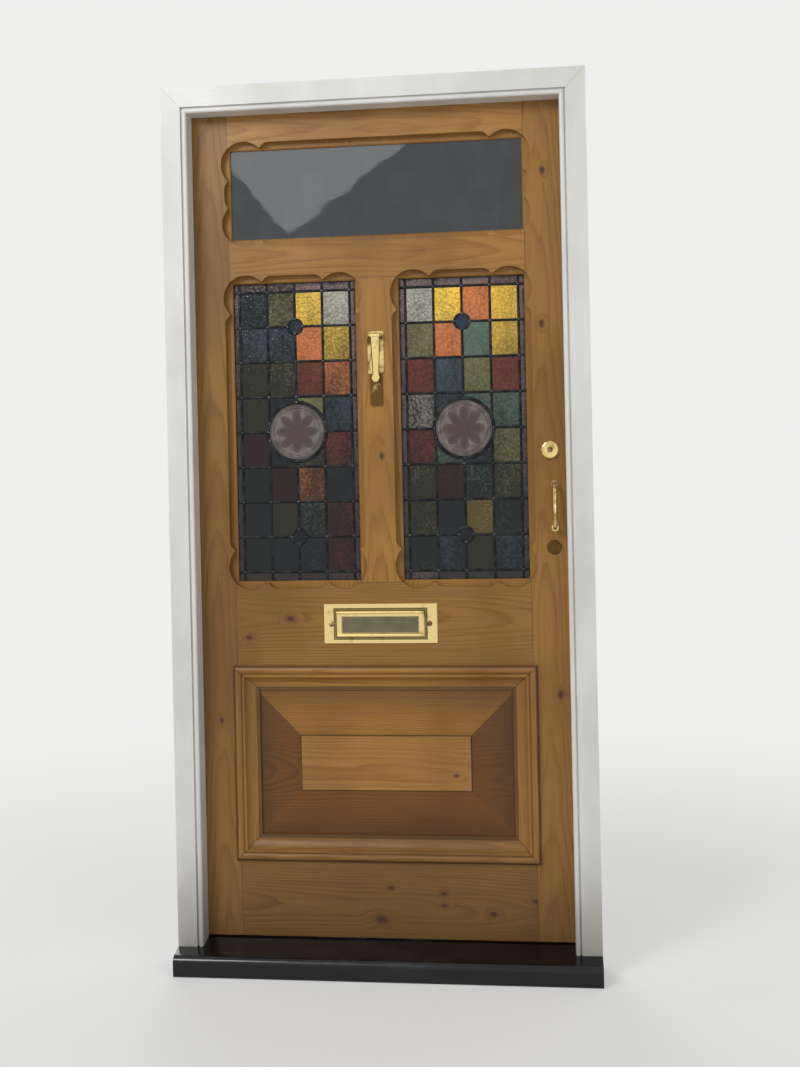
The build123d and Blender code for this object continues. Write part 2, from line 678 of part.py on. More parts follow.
def quarry_sketch(side, glass):
    """Every quarry of one glass in a light, each filling its cell up to the hearts of the cames."""
    with BuildSketch() as shapes:
        for size, places in cell_sizes(CAME_HEART, EDGE_CAME - CAME_COVER).items():
            chosen = [(x, z) for column, row, x, z in places if glass_of(side, column, row) == glass]
            if chosen:
                with Locations(*chosen):
                    Rectangle(*size)
        for height, radius, width in ROUNDELS:
            with Locations((0, height)):
                Circle(radius + width - CAME_COVER, mode=Mode.SUBTRACT)
    return shapes.sketch


for glass in ("border", *GLASS_KINDS.values()):
    sketches = {side: quarry_sketch(side, glass) for side in QUARRY_LAYOUT
                if glass == "border" or glass in {GLASS_KINDS[kind] for row in QUARRY_LAYOUT[side]
                                                  for kind in row}}
    with BuildPart() as quarries:
        for side, sketch in sketches.items():
            with BuildSketch(facing(LIGHTS[side][0], GLASS_FRONT + CAME_LEAF, LIGHT_Z)):
                add(sketch)
            extrude(amount=-QUARRY_THICKNESS)
    save(quarries, f"quarries_{glass}")

for name, rounds in (("large_roundels", ROUNDELS[:1]), ("small_roundels", ROUNDELS[1:])):
    with BuildPart() as roundels:
        for side in (-1, 1):
            for height, radius, width in rounds:
                with BuildSketch(facing(side * LIGHT_X, GLASS_FRONT + CAME_LEAF, LIGHT_Z + height)):
                    Circle(radius + CAME_COVER)
                extrude(amount=-QUARRY_THICKNESS)
    save(roundels, name)

# Butt hinges
HINGE_X = -(LEAF_HALF + REBATE_X) / 2
HINGE_Y = LEAF_THICKNESS + KNUCKLE_RADIUS + RUNNING_GAP
KNUCKLE_PITCH = HINGE_LENGTH / KNUCKLES
LOW_HINGE = LEAF_BASE + LOW_HINGE_RISE
TOP_HINGE = LEAF_TOP - TOP_HINGE_DROP
HINGE_ZS = [LOW_HINGE, (LOW_HINGE + TOP_HINGE) / 2, TOP_HINGE]
POST_FACE = -REBATE_X
LEAF_EDGE = -LEAF_HALF
HINGE_PLATE_Y = (LEAF_THICKNESS - HINGE_LEAF, LEAF_THICKNESS)
SCREW_Y = LEAF_THICKNESS - HINGE_SCREW_SETBACK


def hinge_leaf(z, plate_x, parity):
    """One leaf of a butt hinge, with every other knuckle; parity picks which."""
    low = z - HINGE_LENGTH / 2
    with BuildPart() as piece:
        block(plate_x, HINGE_PLATE_Y, (low, low + HINGE_LENGTH))
        for knuckle in range(parity, KNUCKLES, 2):
            start = low + knuckle * KNUCKLE_PITCH + (KNUCKLE_GAP / 2 if knuckle else 0)
            end = low + (knuckle + 1) * KNUCKLE_PITCH
            end -= KNUCKLE_GAP / 2 if knuckle < KNUCKLES - 1 else 0
            block(plate_x, (LEAF_THICKNESS, HINGE_Y), (start, end))
            round_bar((HINGE_X, HINGE_Y, start), (0, 0, 1), KNUCKLE_RADIUS, end - start)
        round_bar((HINGE_X, HINGE_Y, low), (0, 0, 1), HINGE_PIN_RADIUS + PIN_CLEARANCE,
                  HINGE_LENGTH, Mode.SUBTRACT)
        for place in screw_places(z):
            screw_solid((plate_x[0] if parity else plate_x[1], SCREW_Y, place),
                        (1, 0, 0) if parity else (-1, 0, 0), Mode.SUBTRACT)
    return piece


def screw_places(z):
    """Heights of the screws in one hinge leaf."""
    return [z + step * HINGE_SCREW_SPACING for step in (-1.5, -0.5, 0.5, 1.5)]


def screw_solid(head, axis, mode=Mode.ADD):
    """A countersunk wood screw whose head lies at a point and whose shank runs along an axis."""
    direction = Vector(*axis)
    neck = Vector(*head) + direction * (SCREW_HEAD_RADIUS - SCREW_RADIUS)
    with BuildSketch(Plane(origin=head, z_dir=axis)) as face:
        RegularPolygon(SCREW_HEAD_RADIUS, SCREW_SIDES)
    with BuildSketch(Plane(origin=neck, z_dir=axis)) as shank:
        RegularPolygon(SCREW_RADIUS, SCREW_SIDES)
    loft([face.sketch.face(), shank.sketch.face()], mode=mode)
    extrude(shank.sketch, amount=SCREW_LENGTH, mode=mode)


FRAME_PLATE_X = (POST_FACE - HINGE_PLATE, POST_FACE)
LEAF_PLATE_X = (LEAF_EDGE, LEAF_EDGE + HINGE_PLATE)
frame_leaves = [hinge_leaf(z, FRAME_PLATE_X, 0) for z in HINGE_ZS]
door_leaves = [hinge_leaf(z, LEAF_PLATE_X, 1) for z in HINGE_ZS]

save_group(frame_leaves, "hinge_frame_leaves")
save_group(door_leaves, "hinge_door_leaves")

with BuildPart() as hinge_pins:
    for z in HINGE_ZS:
        low = z - HINGE_LENGTH / 2
        round_bar((HINGE_X, HINGE_Y, low), (0, 0, 1), HINGE_PIN_RADIUS, HINGE_LENGTH)
        for end, direction in ((low, -1), (low + HINGE_LENGTH, 1)):
            round_bar((HINGE_X, HINGE_Y, end), (0, 0, direction), *PIN_HEAD)
save(hinge_pins, "hinge_pins")

with BuildPart() as frame_screws:
    for z in HINGE_ZS:
        for place in screw_places(z):
            screw_solid((POST_FACE, SCREW_Y, place), (-1, 0, 0))
save(frame_screws, "frame_screws")

with BuildPart() as door_screws:
    for z in HINGE_ZS:
        for place in screw_places(z):
            screw_solid((LEAF_EDGE, SCREW_Y, place), (1, 0, 0))
save(door_screws, "door_screws")

with BuildPart() as hinge_post_piece:
    add(hinge_post.part)
    for z in HINGE_ZS:
        block(FRAME_PLATE_X, HINGE_PLATE_Y, (z - HINGE_LENGTH / 2, z + HINGE_LENGTH / 2), Mode.SUBTRACT)
    add(frame_screws.part, mode=Mode.SUBTRACT)
save(hinge_post_piece, "hinge_post")

with BuildPart() as hinge_stile_piece:
    add(hinge_stile.part)
    for z in HINGE_ZS:
        block(LEAF_PLATE_X, HINGE_PLATE_Y, (z - HINGE_LENGTH / 2, z + HINGE_LENGTH / 2), Mode.SUBTRACT)
    add(door_screws.part, mode=Mode.SUBTRACT)
save(hinge_stile_piece, "hinge_stile")

# Letter plate
LETTER_Z = (PANEL_TOP + LIGHT_BOTTOM) / 2 + LETTER_RISE
PLATE_WIDTH, PLATE_HEIGHT, PLATE_THICKNESS = LETTER_PLATE
FLAP_WIDTH, FLAP_HEIGHT = LETTER_FLAP
FLAP_BACK = -PLATE_THICKNESS - RUNNING_GAP
FLAP_PIVOT_Y = FLAP_BACK - FLAP_KNUCKLE_RADIUS
FLAP_TOP = LETTER_Z + FLAP_HEIGHT / 2
FLAP_PIVOT_Z = FLAP_TOP - FLAP_KNUCKLE_RADIUS
RIM_INNER = (FLAP_WIDTH + 4 * RUNNING_GAP + 2 * FLAP_EAR, FLAP_HEIGHT + 4 * RUNNING_GAP)
RIM_OUTER = (RIM_INNER[0] + 2 * LETTER_RIM, RIM_INNER[1] + 2 * LETTER_RIM)
LETTER_BOLTS = [(LETTER_X - LETTER_BOLT_SPACING / 2, LETTER_Z),
                (LETTER_X + LETTER_BOLT_SPACING / 2, LETTER_Z)]

with BuildPart() as letter_plate:
    with BuildSketch(facing(LETTER_X, 0, LETTER_Z)):
        RectangleRounded(PLATE_WIDTH, PLATE_HEIGHT, LETTER_CORNER)
    extrude(amount=PLATE_THICKNESS)
    chamfer(letter_plate.faces().sort_by(Axis.Y)[0].edges(), PLATE_THICKNESS / 2)
    with BuildSketch(facing(LETTER_X, -PLATE_THICKNESS, LETTER_Z)):
        Rectangle(*RIM_OUTER)
        Rectangle(*RIM_INNER, mode=Mode.SUBTRACT)
    extrude(amount=LETTER_RIM_RISE)
    for end in (-1, 1):
        ear = LETTER_X + end * (FLAP_WIDTH / 2 + RUNNING_GAP + FLAP_EAR / 2)
        block((ear - FLAP_EAR / 2, ear + FLAP_EAR / 2), (FLAP_PIVOT_Y, -PLATE_THICKNESS),
              (FLAP_PIVOT_Z - FLAP_KNUCKLE_RADIUS, FLAP_PIVOT_Z + FLAP_KNUCKLE_RADIUS))
        round_bar((ear - FLAP_EAR / 2, FLAP_PIVOT_Y, FLAP_PIVOT_Z), (1, 0, 0), FLAP_KNUCKLE_RADIUS,
                  FLAP_EAR)
    round_bar((LETTER_X - FLAP_WIDTH, FLAP_PIVOT_Y, FLAP_PIVOT_Z), (1, 0, 0),
              FLAP_PIVOT_RADIUS + PIN_CLEARANCE, 2 * FLAP_WIDTH, Mode.SUBTRACT)
    with BuildSketch(facing(LETTER_X, 0, LETTER_Z)):
        Rectangle(*LETTER_SLOT)
    extrude(amount=PLATE_THICKNESS, mode=Mode.SUBTRACT)
    for x, z in LETTER_BOLTS:
        round_bar((x, 0, z), (0, -1, 0), LETTER_BOLT_RADIUS + PIN_CLEARANCE, PLATE_THICKNESS,
                  Mode.SUBTRACT)
save(letter_plate, "letter_plate")

with BuildPart() as letter_flap:
    flap_bottom = LETTER_Z - FLAP_HEIGHT / 2
    flap_x = (LETTER_X - FLAP_WIDTH / 2, LETTER_X + FLAP_WIDTH / 2)
    block(flap_x, (FLAP_BACK - FLAP_THICKNESS, FLAP_BACK), (flap_bottom, FLAP_PIVOT_Z))
    with BuildSketch(facing(LETTER_X, FLAP_BACK - FLAP_THICKNESS, (flap_bottom + FLAP_PIVOT_Z) / 2)):
        Rectangle(FLAP_WIDTH, FLAP_PIVOT_Z - flap_bottom)
        Rectangle(FLAP_WIDTH - 2 * FLAP_BORDER, FLAP_PIVOT_Z - flap_bottom - 2 * FLAP_BORDER,
                  mode=Mode.SUBTRACT)
    extrude(amount=FLAP_BORDER_RISE)
    round_bar((flap_x[0], FLAP_PIVOT_Y, FLAP_PIVOT_Z), (1, 0, 0), FLAP_KNUCKLE_RADIUS, FLAP_WIDTH)
    pivot_reach = FLAP_WIDTH / 2 + RUNNING_GAP + FLAP_EAR
    round_bar((LETTER_X - pivot_reach, FLAP_PIVOT_Y, FLAP_PIVOT_Z), (1, 0, 0), FLAP_PIVOT_RADIUS,
              2 * pivot_reach)
    round_bar((flap_x[0], FLAP_BACK - FLAP_LIP_RADIUS, flap_bottom + FLAP_LIP_RADIUS), (1, 0, 0),
              FLAP_LIP_RADIUS, FLAP_WIDTH)
save(letter_flap, "letter_flap")

with BuildPart() as letter_back_plate:
    with BuildSketch(facing(LETTER_X, LEAF_THICKNESS, LETTER_Z)):
        RectangleRounded(PLATE_WIDTH, PLATE_HEIGHT, LETTER_CORNER)
        Rectangle(*LETTER_SLOT, mode=Mode.SUBTRACT)
    extrude(amount=-LETTER_BACK_THICKNESS)
    for x, z in LETTER_BOLTS:
        round_bar((x, LEAF_THICKNESS, z), (0, 1, 0), LETTER_BOLT_RADIUS + PIN_CLEARANCE,
                  LETTER_BACK_THICKNESS, Mode.SUBTRACT)
save(letter_back_plate, "letter_back_plate")

with BuildPart() as letter_bolts:
    back = LEAF_THICKNESS + LETTER_BACK_THICKNESS
    for x, z in LETTER_BOLTS:
        round_bar((x, -PLATE_THICKNESS, z), (0, 1, 0), LETTER_BOLT_RADIUS, PLATE_THICKNESS + back)
        round_bar((x, -PLATE_THICKNESS, z), (0, -1, 0), *LETTER_BOLT_HEAD)
        round_bar((x, back, z), (0, 1, 0), LETTER_BOLT_HEAD[0], LETTER_NUT_THICKNESS)
save(letter_bolts, "letter_bolts")

with BuildPart() as lock_rail_piece:
    add(lock_rail.part)
    with BuildSketch(facing(LETTER_X, 0, LETTER_Z)):
        Rectangle(*LETTER_SLOT)
    extrude(amount=-LEAF_THICKNESS, mode=Mode.SUBTRACT)
    for x, z in LETTER_BOLTS:
        round_bar((x, 0, z), (0, 1, 0), LETTER_BOLT_RADIUS + PIN_CLEARANCE, LEAF_THICKNESS,
                  Mode.SUBTRACT)
save(lock_rail_piece, "lock_rail")

# Knocker
KNOCKER_TOP_Z = LIGHT_TOP - KNOCKER_DROP
KNOCKER_PLATE_WIDTH, KNOCKER_PLATE_HEIGHT, KNOCKER_PLATE_THICKNESS = KNOCKER_PLATE
STRIKER_WIDTH, STRIKER_HEIGHT, STRIKER_THICKNESS = STRIKER_PLATE
KNOCKER_PIVOT = (-KNOCKER_PIVOT_OUT, KNOCKER_TOP_Z - KNOCKER_PIVOT_DROP)
HAMMER_FOOT = KNOCKER_PIVOT[1] - KNOCKER_LENGTH
STRIKER_TOP = KNOCKER_TOP_Z - KNOCKER_PLATE_HEIGHT - STRIKER_GAP
HAMMER_BACK = KNOCKER_PIVOT[0] + KNOCKER_THICKNESS / 2

with BuildPart() as knocker_plate:
    with BuildSketch(facing(KNOCKER_X, 0, KNOCKER_TOP_Z - KNOCKER_PLATE_HEIGHT / 2)):
        RectangleRounded(KNOCKER_PLATE_WIDTH, KNOCKER_PLATE_HEIGHT, KNOCKER_CORNER)
    extrude(amount=KNOCKER_PLATE_THICKNESS)
    chamfer(knocker_plate.faces().sort_by(Axis.Y)[0].edges(), KNOCKER_PLATE_THICKNESS / 3)
    for end in (-1, 1):
        ear = KNOCKER_X + end * (KNOCKER_WIDTH / 2 + RUNNING_GAP + KNOCKER_EAR / 2)
        ear_x = (ear - KNOCKER_EAR / 2, ear + KNOCKER_EAR / 2)
        ear_radius = 2 * KNOCKER_PIN_RADIUS
        block(ear_x, (KNOCKER_PIVOT[0], -KNOCKER_PLATE_THICKNESS),
              (KNOCKER_PIVOT[1] - ear_radius, KNOCKER_PIVOT[1] + ear_radius))
        round_bar((ear_x[0], *KNOCKER_PIVOT), (1, 0, 0), ear_radius, KNOCKER_EAR)
    round_bar((KNOCKER_X - KNOCKER_WIDTH, *KNOCKER_PIVOT), (1, 0, 0), KNOCKER_PIN_RADIUS,
              2 * KNOCKER_WIDTH, Mode.SUBTRACT)
save(knocker_plate, "knocker_plate")

with BuildPart() as knocker_pin:
    pin_half = KNOCKER_WIDTH / 2 + RUNNING_GAP + KNOCKER_EAR
    round_bar((KNOCKER_X - pin_half, *KNOCKER_PIVOT), (1, 0, 0), KNOCKER_PIN_RADIUS, 2 * pin_half)
save(knocker_pin, "knocker_pin")

with BuildPart() as knocker_hammer:
    with BuildSketch(facing(KNOCKER_X, HAMMER_BACK, 0)):
        with BuildLine():
            wide, narrow = KNOCKER_WIDTH / 2, KNOCKER_WIDTH / 2 - KNOCKER_TAPER
            waist = HAMMER_FOOT + 3 * KNOCKER_BULB
            top = KNOCKER_PIVOT[1]
            Polyline((-narrow, waist), (-wide, top), (wide, top), (narrow, waist))
            Spline((narrow, waist), (KNOCKER_BULB, HAMMER_FOOT + KNOCKER_BULB), (0, HAMMER_FOOT),
                   (-KNOCKER_BULB, HAMMER_FOOT + KNOCKER_BULB), (-narrow, waist),
                   tangents=[(0, -1), (0, 1)])
        make_face()
    extrude(amount=KNOCKER_THICKNESS)
    front_edges = knocker_hammer.faces().sort_by(Axis.Y)[0].edges()
    chamfer(front_edges, KNOCKER_THICKNESS / 3)
    round_bar((KNOCKER_X - KNOCKER_WIDTH / 2, *KNOCKER_PIVOT), (1, 0, 0), 2 * KNOCKER_PIN_RADIUS,
              KNOCKER_WIDTH)
    round_bar((KNOCKER_X - KNOCKER_WIDTH, *KNOCKER_PIVOT), (1, 0, 0),
              KNOCKER_PIN_RADIUS + PIN_CLEARANCE, 2 * KNOCKER_WIDTH, Mode.SUBTRACT)
save(knocker_hammer, "knocker_hammer")

with BuildPart() as knocker_striker:
    with BuildSketch(facing(KNOCKER_X, 0, STRIKER_TOP - STRIKER_HEIGHT / 2)):
        RectangleRounded(STRIKER_WIDTH, STRIKER_HEIGHT, KNOCKER_CORNER)
    extrude(amount=STRIKER_THICKNESS)
    round_bar((KNOCKER_X, 0, HAMMER_FOOT + KNOCKER_BULB), (0, -1, 0), STRIKER_RADIUS,
              -HAMMER_BACK - STRIKE_GAP)
save(knocker_striker, "knocker_striker")

# Rim cylinder through the lock stile
CYLINDER_X = LEAF_HALF - CYLINDER_BACKSET
CYLINDER_Z = LIGHT_BOTTOM + CYLINDER_RISE
CYLINDER_BACK = LEAF_THICKNESS - CYLINDER_END_SETBACK


def street_lathe(x, z, profile):
    """A turned piece on an axis into the house; the profile gives radius and depth."""
    with BuildPart() as piece:
        with BuildSketch(Plane(origin=(x, 0, z), x_dir=(1, 0, 0), z_dir=(0, 0, 1))):
            add(outline(*profile))
        revolve(axis=Axis((x, 0, z), (0, 1, 0)))
    return piece


bore, ring, rise = CYLINDER_RADIUS, CYLINDER_RING_RADIUS, CYLINDER_RING_RISE
bevel, lip = CYLINDER_RING_BEVEL
cylinder_ring = street_lathe(CYLINDER_X, CYLINDER_Z, [
    (bore, 0), (ring, 0), (ring, -lip), (ring - bevel, lip / 2 - rise), (ring - bevel - lip, -rise),
    (bore, lip / 2 - rise)])
save(cylinder_ring, "cylinder_ring")

with BuildPart() as cylinder_body:
    round_bar((CYLINDER_X, -CYLINDER_FACE_RISE, CYLINDER_Z), (0, 1, 0), CYLINDER_RADIUS,
              CYLINDER_FACE_RISE + CYLINDER_BACK)
    round_bar((CYLINDER_X, -CYLINDER_FACE_RISE, CYLINDER_Z), (0, 1, 0), PLUG_RADIUS + PIN_CLEARANCE,
              CYLINDER_FACE_RISE + CYLINDER_BACK, Mode.SUBTRACT)
save(cylinder_body, "cylinder_body")

LATCH_WIDTH, LATCH_HEIGHT, LATCH_DEPTH = LATCH_CASE
TAILBAR_END = LEAF_THICKNESS + LATCH_BACK_WALL - SLIDING_GAP

with BuildPart() as cylinder_plug:
    round_bar((CYLINDER_X, -CYLINDER_FACE_RISE, CYLINDER_Z), (0, 1, 0), PLUG_RADIUS,
              CYLINDER_FACE_RISE + CYLINDER_BACK)
    with BuildSketch(facing(CYLINDER_X, -CYLINDER_FACE_RISE, CYLINDER_Z)):
        Rectangle(*KEYWAY)
    extrude(amount=-KEYWAY_DEPTH, mode=Mode.SUBTRACT)
    with BuildSketch(facing(CYLINDER_X, CYLINDER_BACK, CYLINDER_Z)):
        Rectangle(*TAILBAR)
    extrude(amount=CYLINDER_BACK - TAILBAR_END)
save(cylinder_plug, "cylinder_plug")

# Nightlatch on the house face of the leaf
LATCH_X = (LEAF_HALF - LATCH_EDGE_GAP - LATCH_WIDTH, LEAF_HALF - LATCH_EDGE_GAP)
LATCH_Y = (LEAF_THICKNESS, LEAF_THICKNESS + LATCH_DEPTH)
LATCH_Z = (CYLINDER_Z - LATCH_HEIGHT / 2, CYLINDER_Z + LATCH_HEIGHT / 2)
BOLT_LENGTH, BOLT_HEIGHT, BOLT_DEPTH = LATCH_BOLT
BOLT_X = (LATCH_X[1] - BOLT_LENGTH, LATCH_X[1])
BOLT_Y = (LEAF_THICKNESS + LATCH_BACK_WALL + SLIDING_GAP,
          LEAF_THICKNESS + LATCH_BACK_WALL + SLIDING_GAP + BOLT_DEPTH)
BOLT_Z = (CYLINDER_Z - BOLT_HEIGHT / 2, CYLINDER_Z + BOLT_HEIGHT / 2)
SNIB_Z = CYLINDER_Z - SNIB_OFFSET


def widened(limits, margin):
    """Limits moved apart by a margin at both ends."""
    return (limits[0] - margin, limits[1] + margin)


with BuildPart() as latch_case:
    block(LATCH_X, LATCH_Y, LATCH_Z)
    chamfer(latch_case.faces().sort_by(Axis.Y)[-1].edges(), LATCH_CASE_BEVEL)
    block(widened(BOLT_X, SLIDING_GAP), widened(BOLT_Y, SLIDING_GAP),
          widened(BOLT_Z, SLIDING_GAP), Mode.SUBTRACT)
    round_bar((CYLINDER_X, LATCH_Y[0], CYLINDER_Z), (0, 1, 0), TAILBAR[0] / 2 + 2 * RUNNING_GAP,
              LATCH_BACK_WALL, Mode.SUBTRACT)
    round_bar((CYLINDER_X, LATCH_Y[1], CYLINDER_Z), (0, -1, 0), LATCH_SPINDLE_RADIUS + PIN_CLEARANCE,
              LATCH_Y[1] - BOLT_Y[1], Mode.SUBTRACT)
    snib_end = CYLINDER_X + SNIB[0] / 2 + SNIB_TRAVEL
    block(widened((CYLINDER_X - SNIB[0] / 2, snib_end), SLIDING_GAP),
          (LATCH_Y[1] - SNIB_SLOT_DEPTH, LATCH_Y[1]),
          widened((SNIB_Z - SNIB[1] / 2, SNIB_Z + SNIB[1] / 2), SLIDING_GAP), Mode.SUBTRACT)
save(latch_case, "latch_case")

with BuildPart() as latch_bolt:
    block(BOLT_X, BOLT_Y, BOLT_Z)
    nose = latch_bolt.edges().filter_by(Axis.Z).group_by(Axis.X)[-1].sort_by(Axis.Y)[0]
    chamfer(nose, LATCH_BEVEL)
save(latch_bolt, "latch_bolt")

knob_start = BOLT_Y[1] + 2 * SLIDING_GAP
knob_foot = LATCH_Y[1] + RUNNING_GAP
knob_end = knob_foot + LATCH_KNOB_RISE
foot_radius, foot_height = LATCH_KNOB_FOOT
band_start = knob_end - LATCH_KNOB_BEVEL - LATCH_KNOB_BAND
latch_knob = street_lathe(CYLINDER_X, CYLINDER_Z, [
    (0, knob_start), (LATCH_SPINDLE_RADIUS, knob_start), (LATCH_SPINDLE_RADIUS, knob_foot),
    (foot_radius, knob_foot), (LATCH_KNOB_WAIST, knob_foot + foot_height),
    (LATCH_KNOB_RADIUS, band_start), (LATCH_KNOB_RADIUS, knob_end - LATCH_KNOB_BEVEL),
    (LATCH_KNOB_RADIUS - LATCH_KNOB_BEVEL, knob_end), (0, knob_end)])
save(latch_knob, "latch_knob")

with BuildPart() as latch_snib:
    button_width, button_height, button_rise = SNIB_BUTTON
    snib_front = LATCH_Y[1] + button_rise
    block((CYLINDER_X - SNIB[0] / 2, CYLINDER_X + SNIB[0] / 2),
          (LATCH_Y[1] - SNIB_SLOT_DEPTH + SLIDING_GAP, snib_front),
          (SNIB_Z - SNIB[1] / 2, SNIB_Z + SNIB[1] / 2))
    block((CYLINDER_X - button_width / 2, CYLINDER_X + button_width / 2),
          (LATCH_Y[1] + SLIDING_GAP, snib_front),
          (SNIB_Z - button_height / 2, SNIB_Z + button_height / 2))
save(latch_snib, "latch_snib")

STAPLE_DEPTH = LATCH_THROW + STAPLE_REACH
STAPLE_X = (REBATE_X + STAPLE_GAP, REBATE_X + STAPLE_GAP + STAPLE_DEPTH + STAPLE_WALL)
STAPLE_POCKET = ((REBATE_X, STAPLE_X[1] - STAPLE_WALL), widened(BOLT_Y, STAPLE_ROOM[0]),
                 widened(BOLT_Z, STAPLE_ROOM[1]))

with BuildPart() as latch_staple:
    block(STAPLE_X, LATCH_Y, LATCH_Z)
    chamfer(latch_staple.faces().sort_by(Axis.Y)[-1].edges(), LATCH_CASE_BEVEL)
    block(*STAPLE_POCKET, Mode.SUBTRACT)
save(latch_staple, "latch_staple")

# Pull handle
HANDLE_X = LEAF_HALF - HANDLE_BACKSET
HANDLE_Z = CYLINDER_Z - HANDLE_DROP

with BuildPart() as pull_handle:
    half_run = HANDLE_CENTRES / 2
    with BuildLine(Plane(origin=(HANDLE_X, 0, HANDLE_Z), x_dir=(0, -1, 0), z_dir=(-1, 0, 0))) as bow:
        FilletPolyline((0, -half_run), (HANDLE_REACH, -half_run), (HANDLE_REACH, half_run),
                       (0, half_run), radius=HANDLE_BEND)
    with BuildSketch(facing(HANDLE_X, 0, HANDLE_Z - half_run)):
        Circle(HANDLE_BAR_RADIUS)
    sweep(path=bow.line)
    for end in (-half_run, half_run):
        round_bar((HANDLE_X, 0, HANDLE_Z + end), (0, -1, 0), HANDLE_FOOT_RADIUS,
                  HANDLE_FOOT_THICKNESS)
save(pull_handle, "pull_handle")

# Mortice deadlock
DEADLOCK_X = LEAF_HALF - DEADLOCK_BACKSET
DEADLOCK_Z = HANDLE_Z - DEADLOCK_DROP
CASE_DEPTH, CASE_HEIGHT, CASE_THICKNESS = DEADLOCK_CASE
FOREND_HEIGHT, FOREND_WIDTH, FOREND_THICKNESS = FOREND
DEADBOLT_LENGTH, DEADBOLT_HEIGHT, DEADBOLT_THICKNESS = DEADBOLT
MIDDLE_Y = LEAF_THICKNESS / 2
CASE_X = (LEAF_HALF - CASE_DEPTH, LEAF_HALF - FOREND_THICKNESS)
CASE_Y = (MIDDLE_Y - CASE_THICKNESS / 2, MIDDLE_Y + CASE_THICKNESS / 2)
CASE_Z = (DEADLOCK_Z - CASE_HEIGHT / 2, DEADLOCK_Z + CASE_HEIGHT / 2)
FOREND_X = (LEAF_HALF - FOREND_THICKNESS, LEAF_HALF)
FOREND_Y = (MIDDLE_Y - FOREND_WIDTH / 2, MIDDLE_Y + FOREND_WIDTH / 2)
FOREND_Z = (DEADLOCK_Z - FOREND_HEIGHT / 2, DEADLOCK_Z + FOREND_HEIGHT / 2)
DEADBOLT_Z = DEADLOCK_Z + DEADBOLT_OFFSET
DEADBOLT_LIMITS = ((LEAF_HALF - LATCH_EDGE_GAP - DEADBOLT_LENGTH, LEAF_HALF - LATCH_EDGE_GAP),
                   (MIDDLE_Y - DEADBOLT_THICKNESS / 2, MIDDLE_Y + DEADBOLT_THICKNESS / 2),
                   (DEADBOLT_Z - DEADBOLT_HEIGHT / 2, DEADBOLT_Z + DEADBOLT_HEIGHT / 2))
KEYHOLE = (DEADLOCK_X, DEADLOCK_Z)


def keyhole(y, depth):
    """Cut a keyhole through the present part from one depth to another."""
    x, z = KEYHOLE
    round_bar((x, y, z), (0, 1, 0), KEYHOLE_RADIUS, depth, Mode.SUBTRACT)
    block((x - KEYHOLE_RADIUS / 2, x + KEYHOLE_RADIUS / 2), (y, y + depth), (z - KEYHOLE_DROP, z),
          Mode.SUBTRACT)


with BuildPart() as deadlock_case:
    block(CASE_X, CASE_Y, CASE_Z)
    block(FOREND_X, FOREND_Y, FOREND_Z)
    bolt_way = [widened(limits, SLIDING_GAP) for limits in DEADBOLT_LIMITS]
    block((bolt_way[0][0], LEAF_HALF), bolt_way[1], bolt_way[2], Mode.SUBTRACT)
    keyhole(CASE_Y[0], CASE_THICKNESS)
save(deadlock_case, "deadlock_case")

with BuildPart() as deadbolt:
    block(*DEADBOLT_LIMITS)
save(deadbolt, "deadbolt")

with BuildPart() as lock_stile_piece:
    add(lock_stile.part)
    round_bar((CYLINDER_X, 0, CYLINDER_Z), (0, 1, 0), CYLINDER_RADIUS, LEAF_THICKNESS, Mode.SUBTRACT)
    block(CASE_X, CASE_Y, CASE_Z, Mode.SUBTRACT)
    block(FOREND_X, FOREND_Y, FOREND_Z, Mode.SUBTRACT)
    keyhole(0, LEAF_THICKNESS)
save(lock_stile_piece, "lock_stile")

KEEP_X = (REBATE_X, REBATE_X + FOREND_THICKNESS)
KEEP_POCKET = ((REBATE_X, REBATE_X + DEADBOLT_THROW + KEEP_POCKET_MARGIN),
               widened(DEADBOLT_LIMITS[1], KEEP_POCKET_MARGIN / 2),
               widened(DEADBOLT_LIMITS[2], KEEP_POCKET_MARGIN / 2))
KEEP_BOX = ((REBATE_X, KEEP_POCKET[0][1] + FOREND_THICKNESS), widened(KEEP_POCKET[1], FOREND_THICKNESS),
            widened(KEEP_POCKET[2], FOREND_THICKNESS))

with BuildPart() as deadlock_keep:
    block(KEEP_X, FOREND_Y, widened(DEADBOLT_LIMITS[2], FOREND_WIDTH))
    block(*KEEP_BOX)
    block(*KEEP_POCKET, Mode.SUBTRACT)
save(deadlock_keep, "deadlock_keep")

with BuildPart() as lock_post_piece:
    add(lock_post.part)
    block(KEEP_X, FOREND_Y, widened(DEADBOLT_LIMITS[2], FOREND_WIDTH), Mode.SUBTRACT)
    block(*KEEP_BOX, Mode.SUBTRACT)
save(lock_post_piece, "lock_post")

# Escutcheons and drop cover
COVER_PIVOT_Z = DEADLOCK_Z + COVER_PIVOT
COVER_BACK = -ESCUTCHEON_THICKNESS - SLIDING_GAP
COVER_FRONT = COVER_BACK - COVER_THICKNESS

with BuildPart() as deadlock_escutcheon:
    round_bar((DEADLOCK_X, 0, DEADLOCK_Z), (0, -1, 0), ESCUTCHEON_RADIUS, ESCUTCHEON_THICKNESS)
    chamfer(deadlock_escutcheon.faces().sort_by(Axis.Y)[0].edges(), ESCUTCHEON_THICKNESS / 2)
    keyhole(-ESCUTCHEON_THICKNESS, ESCUTCHEON_THICKNESS)
    rivet_neck = COVER_FRONT - SLIDING_GAP
    round_bar((DEADLOCK_X, 0, COVER_PIVOT_Z), (0, -1, 0), COVER_RIVET_RADIUS, -rivet_neck)
    round_bar((DEADLOCK_X, rivet_neck, COVER_PIVOT_Z), (0, -1, 0),
              COVER_RIVET_RADIUS + COVER_RIVET_HEAD, COVER_RIVET_HEAD)
save(deadlock_escutcheon, "deadlock_escutcheon")

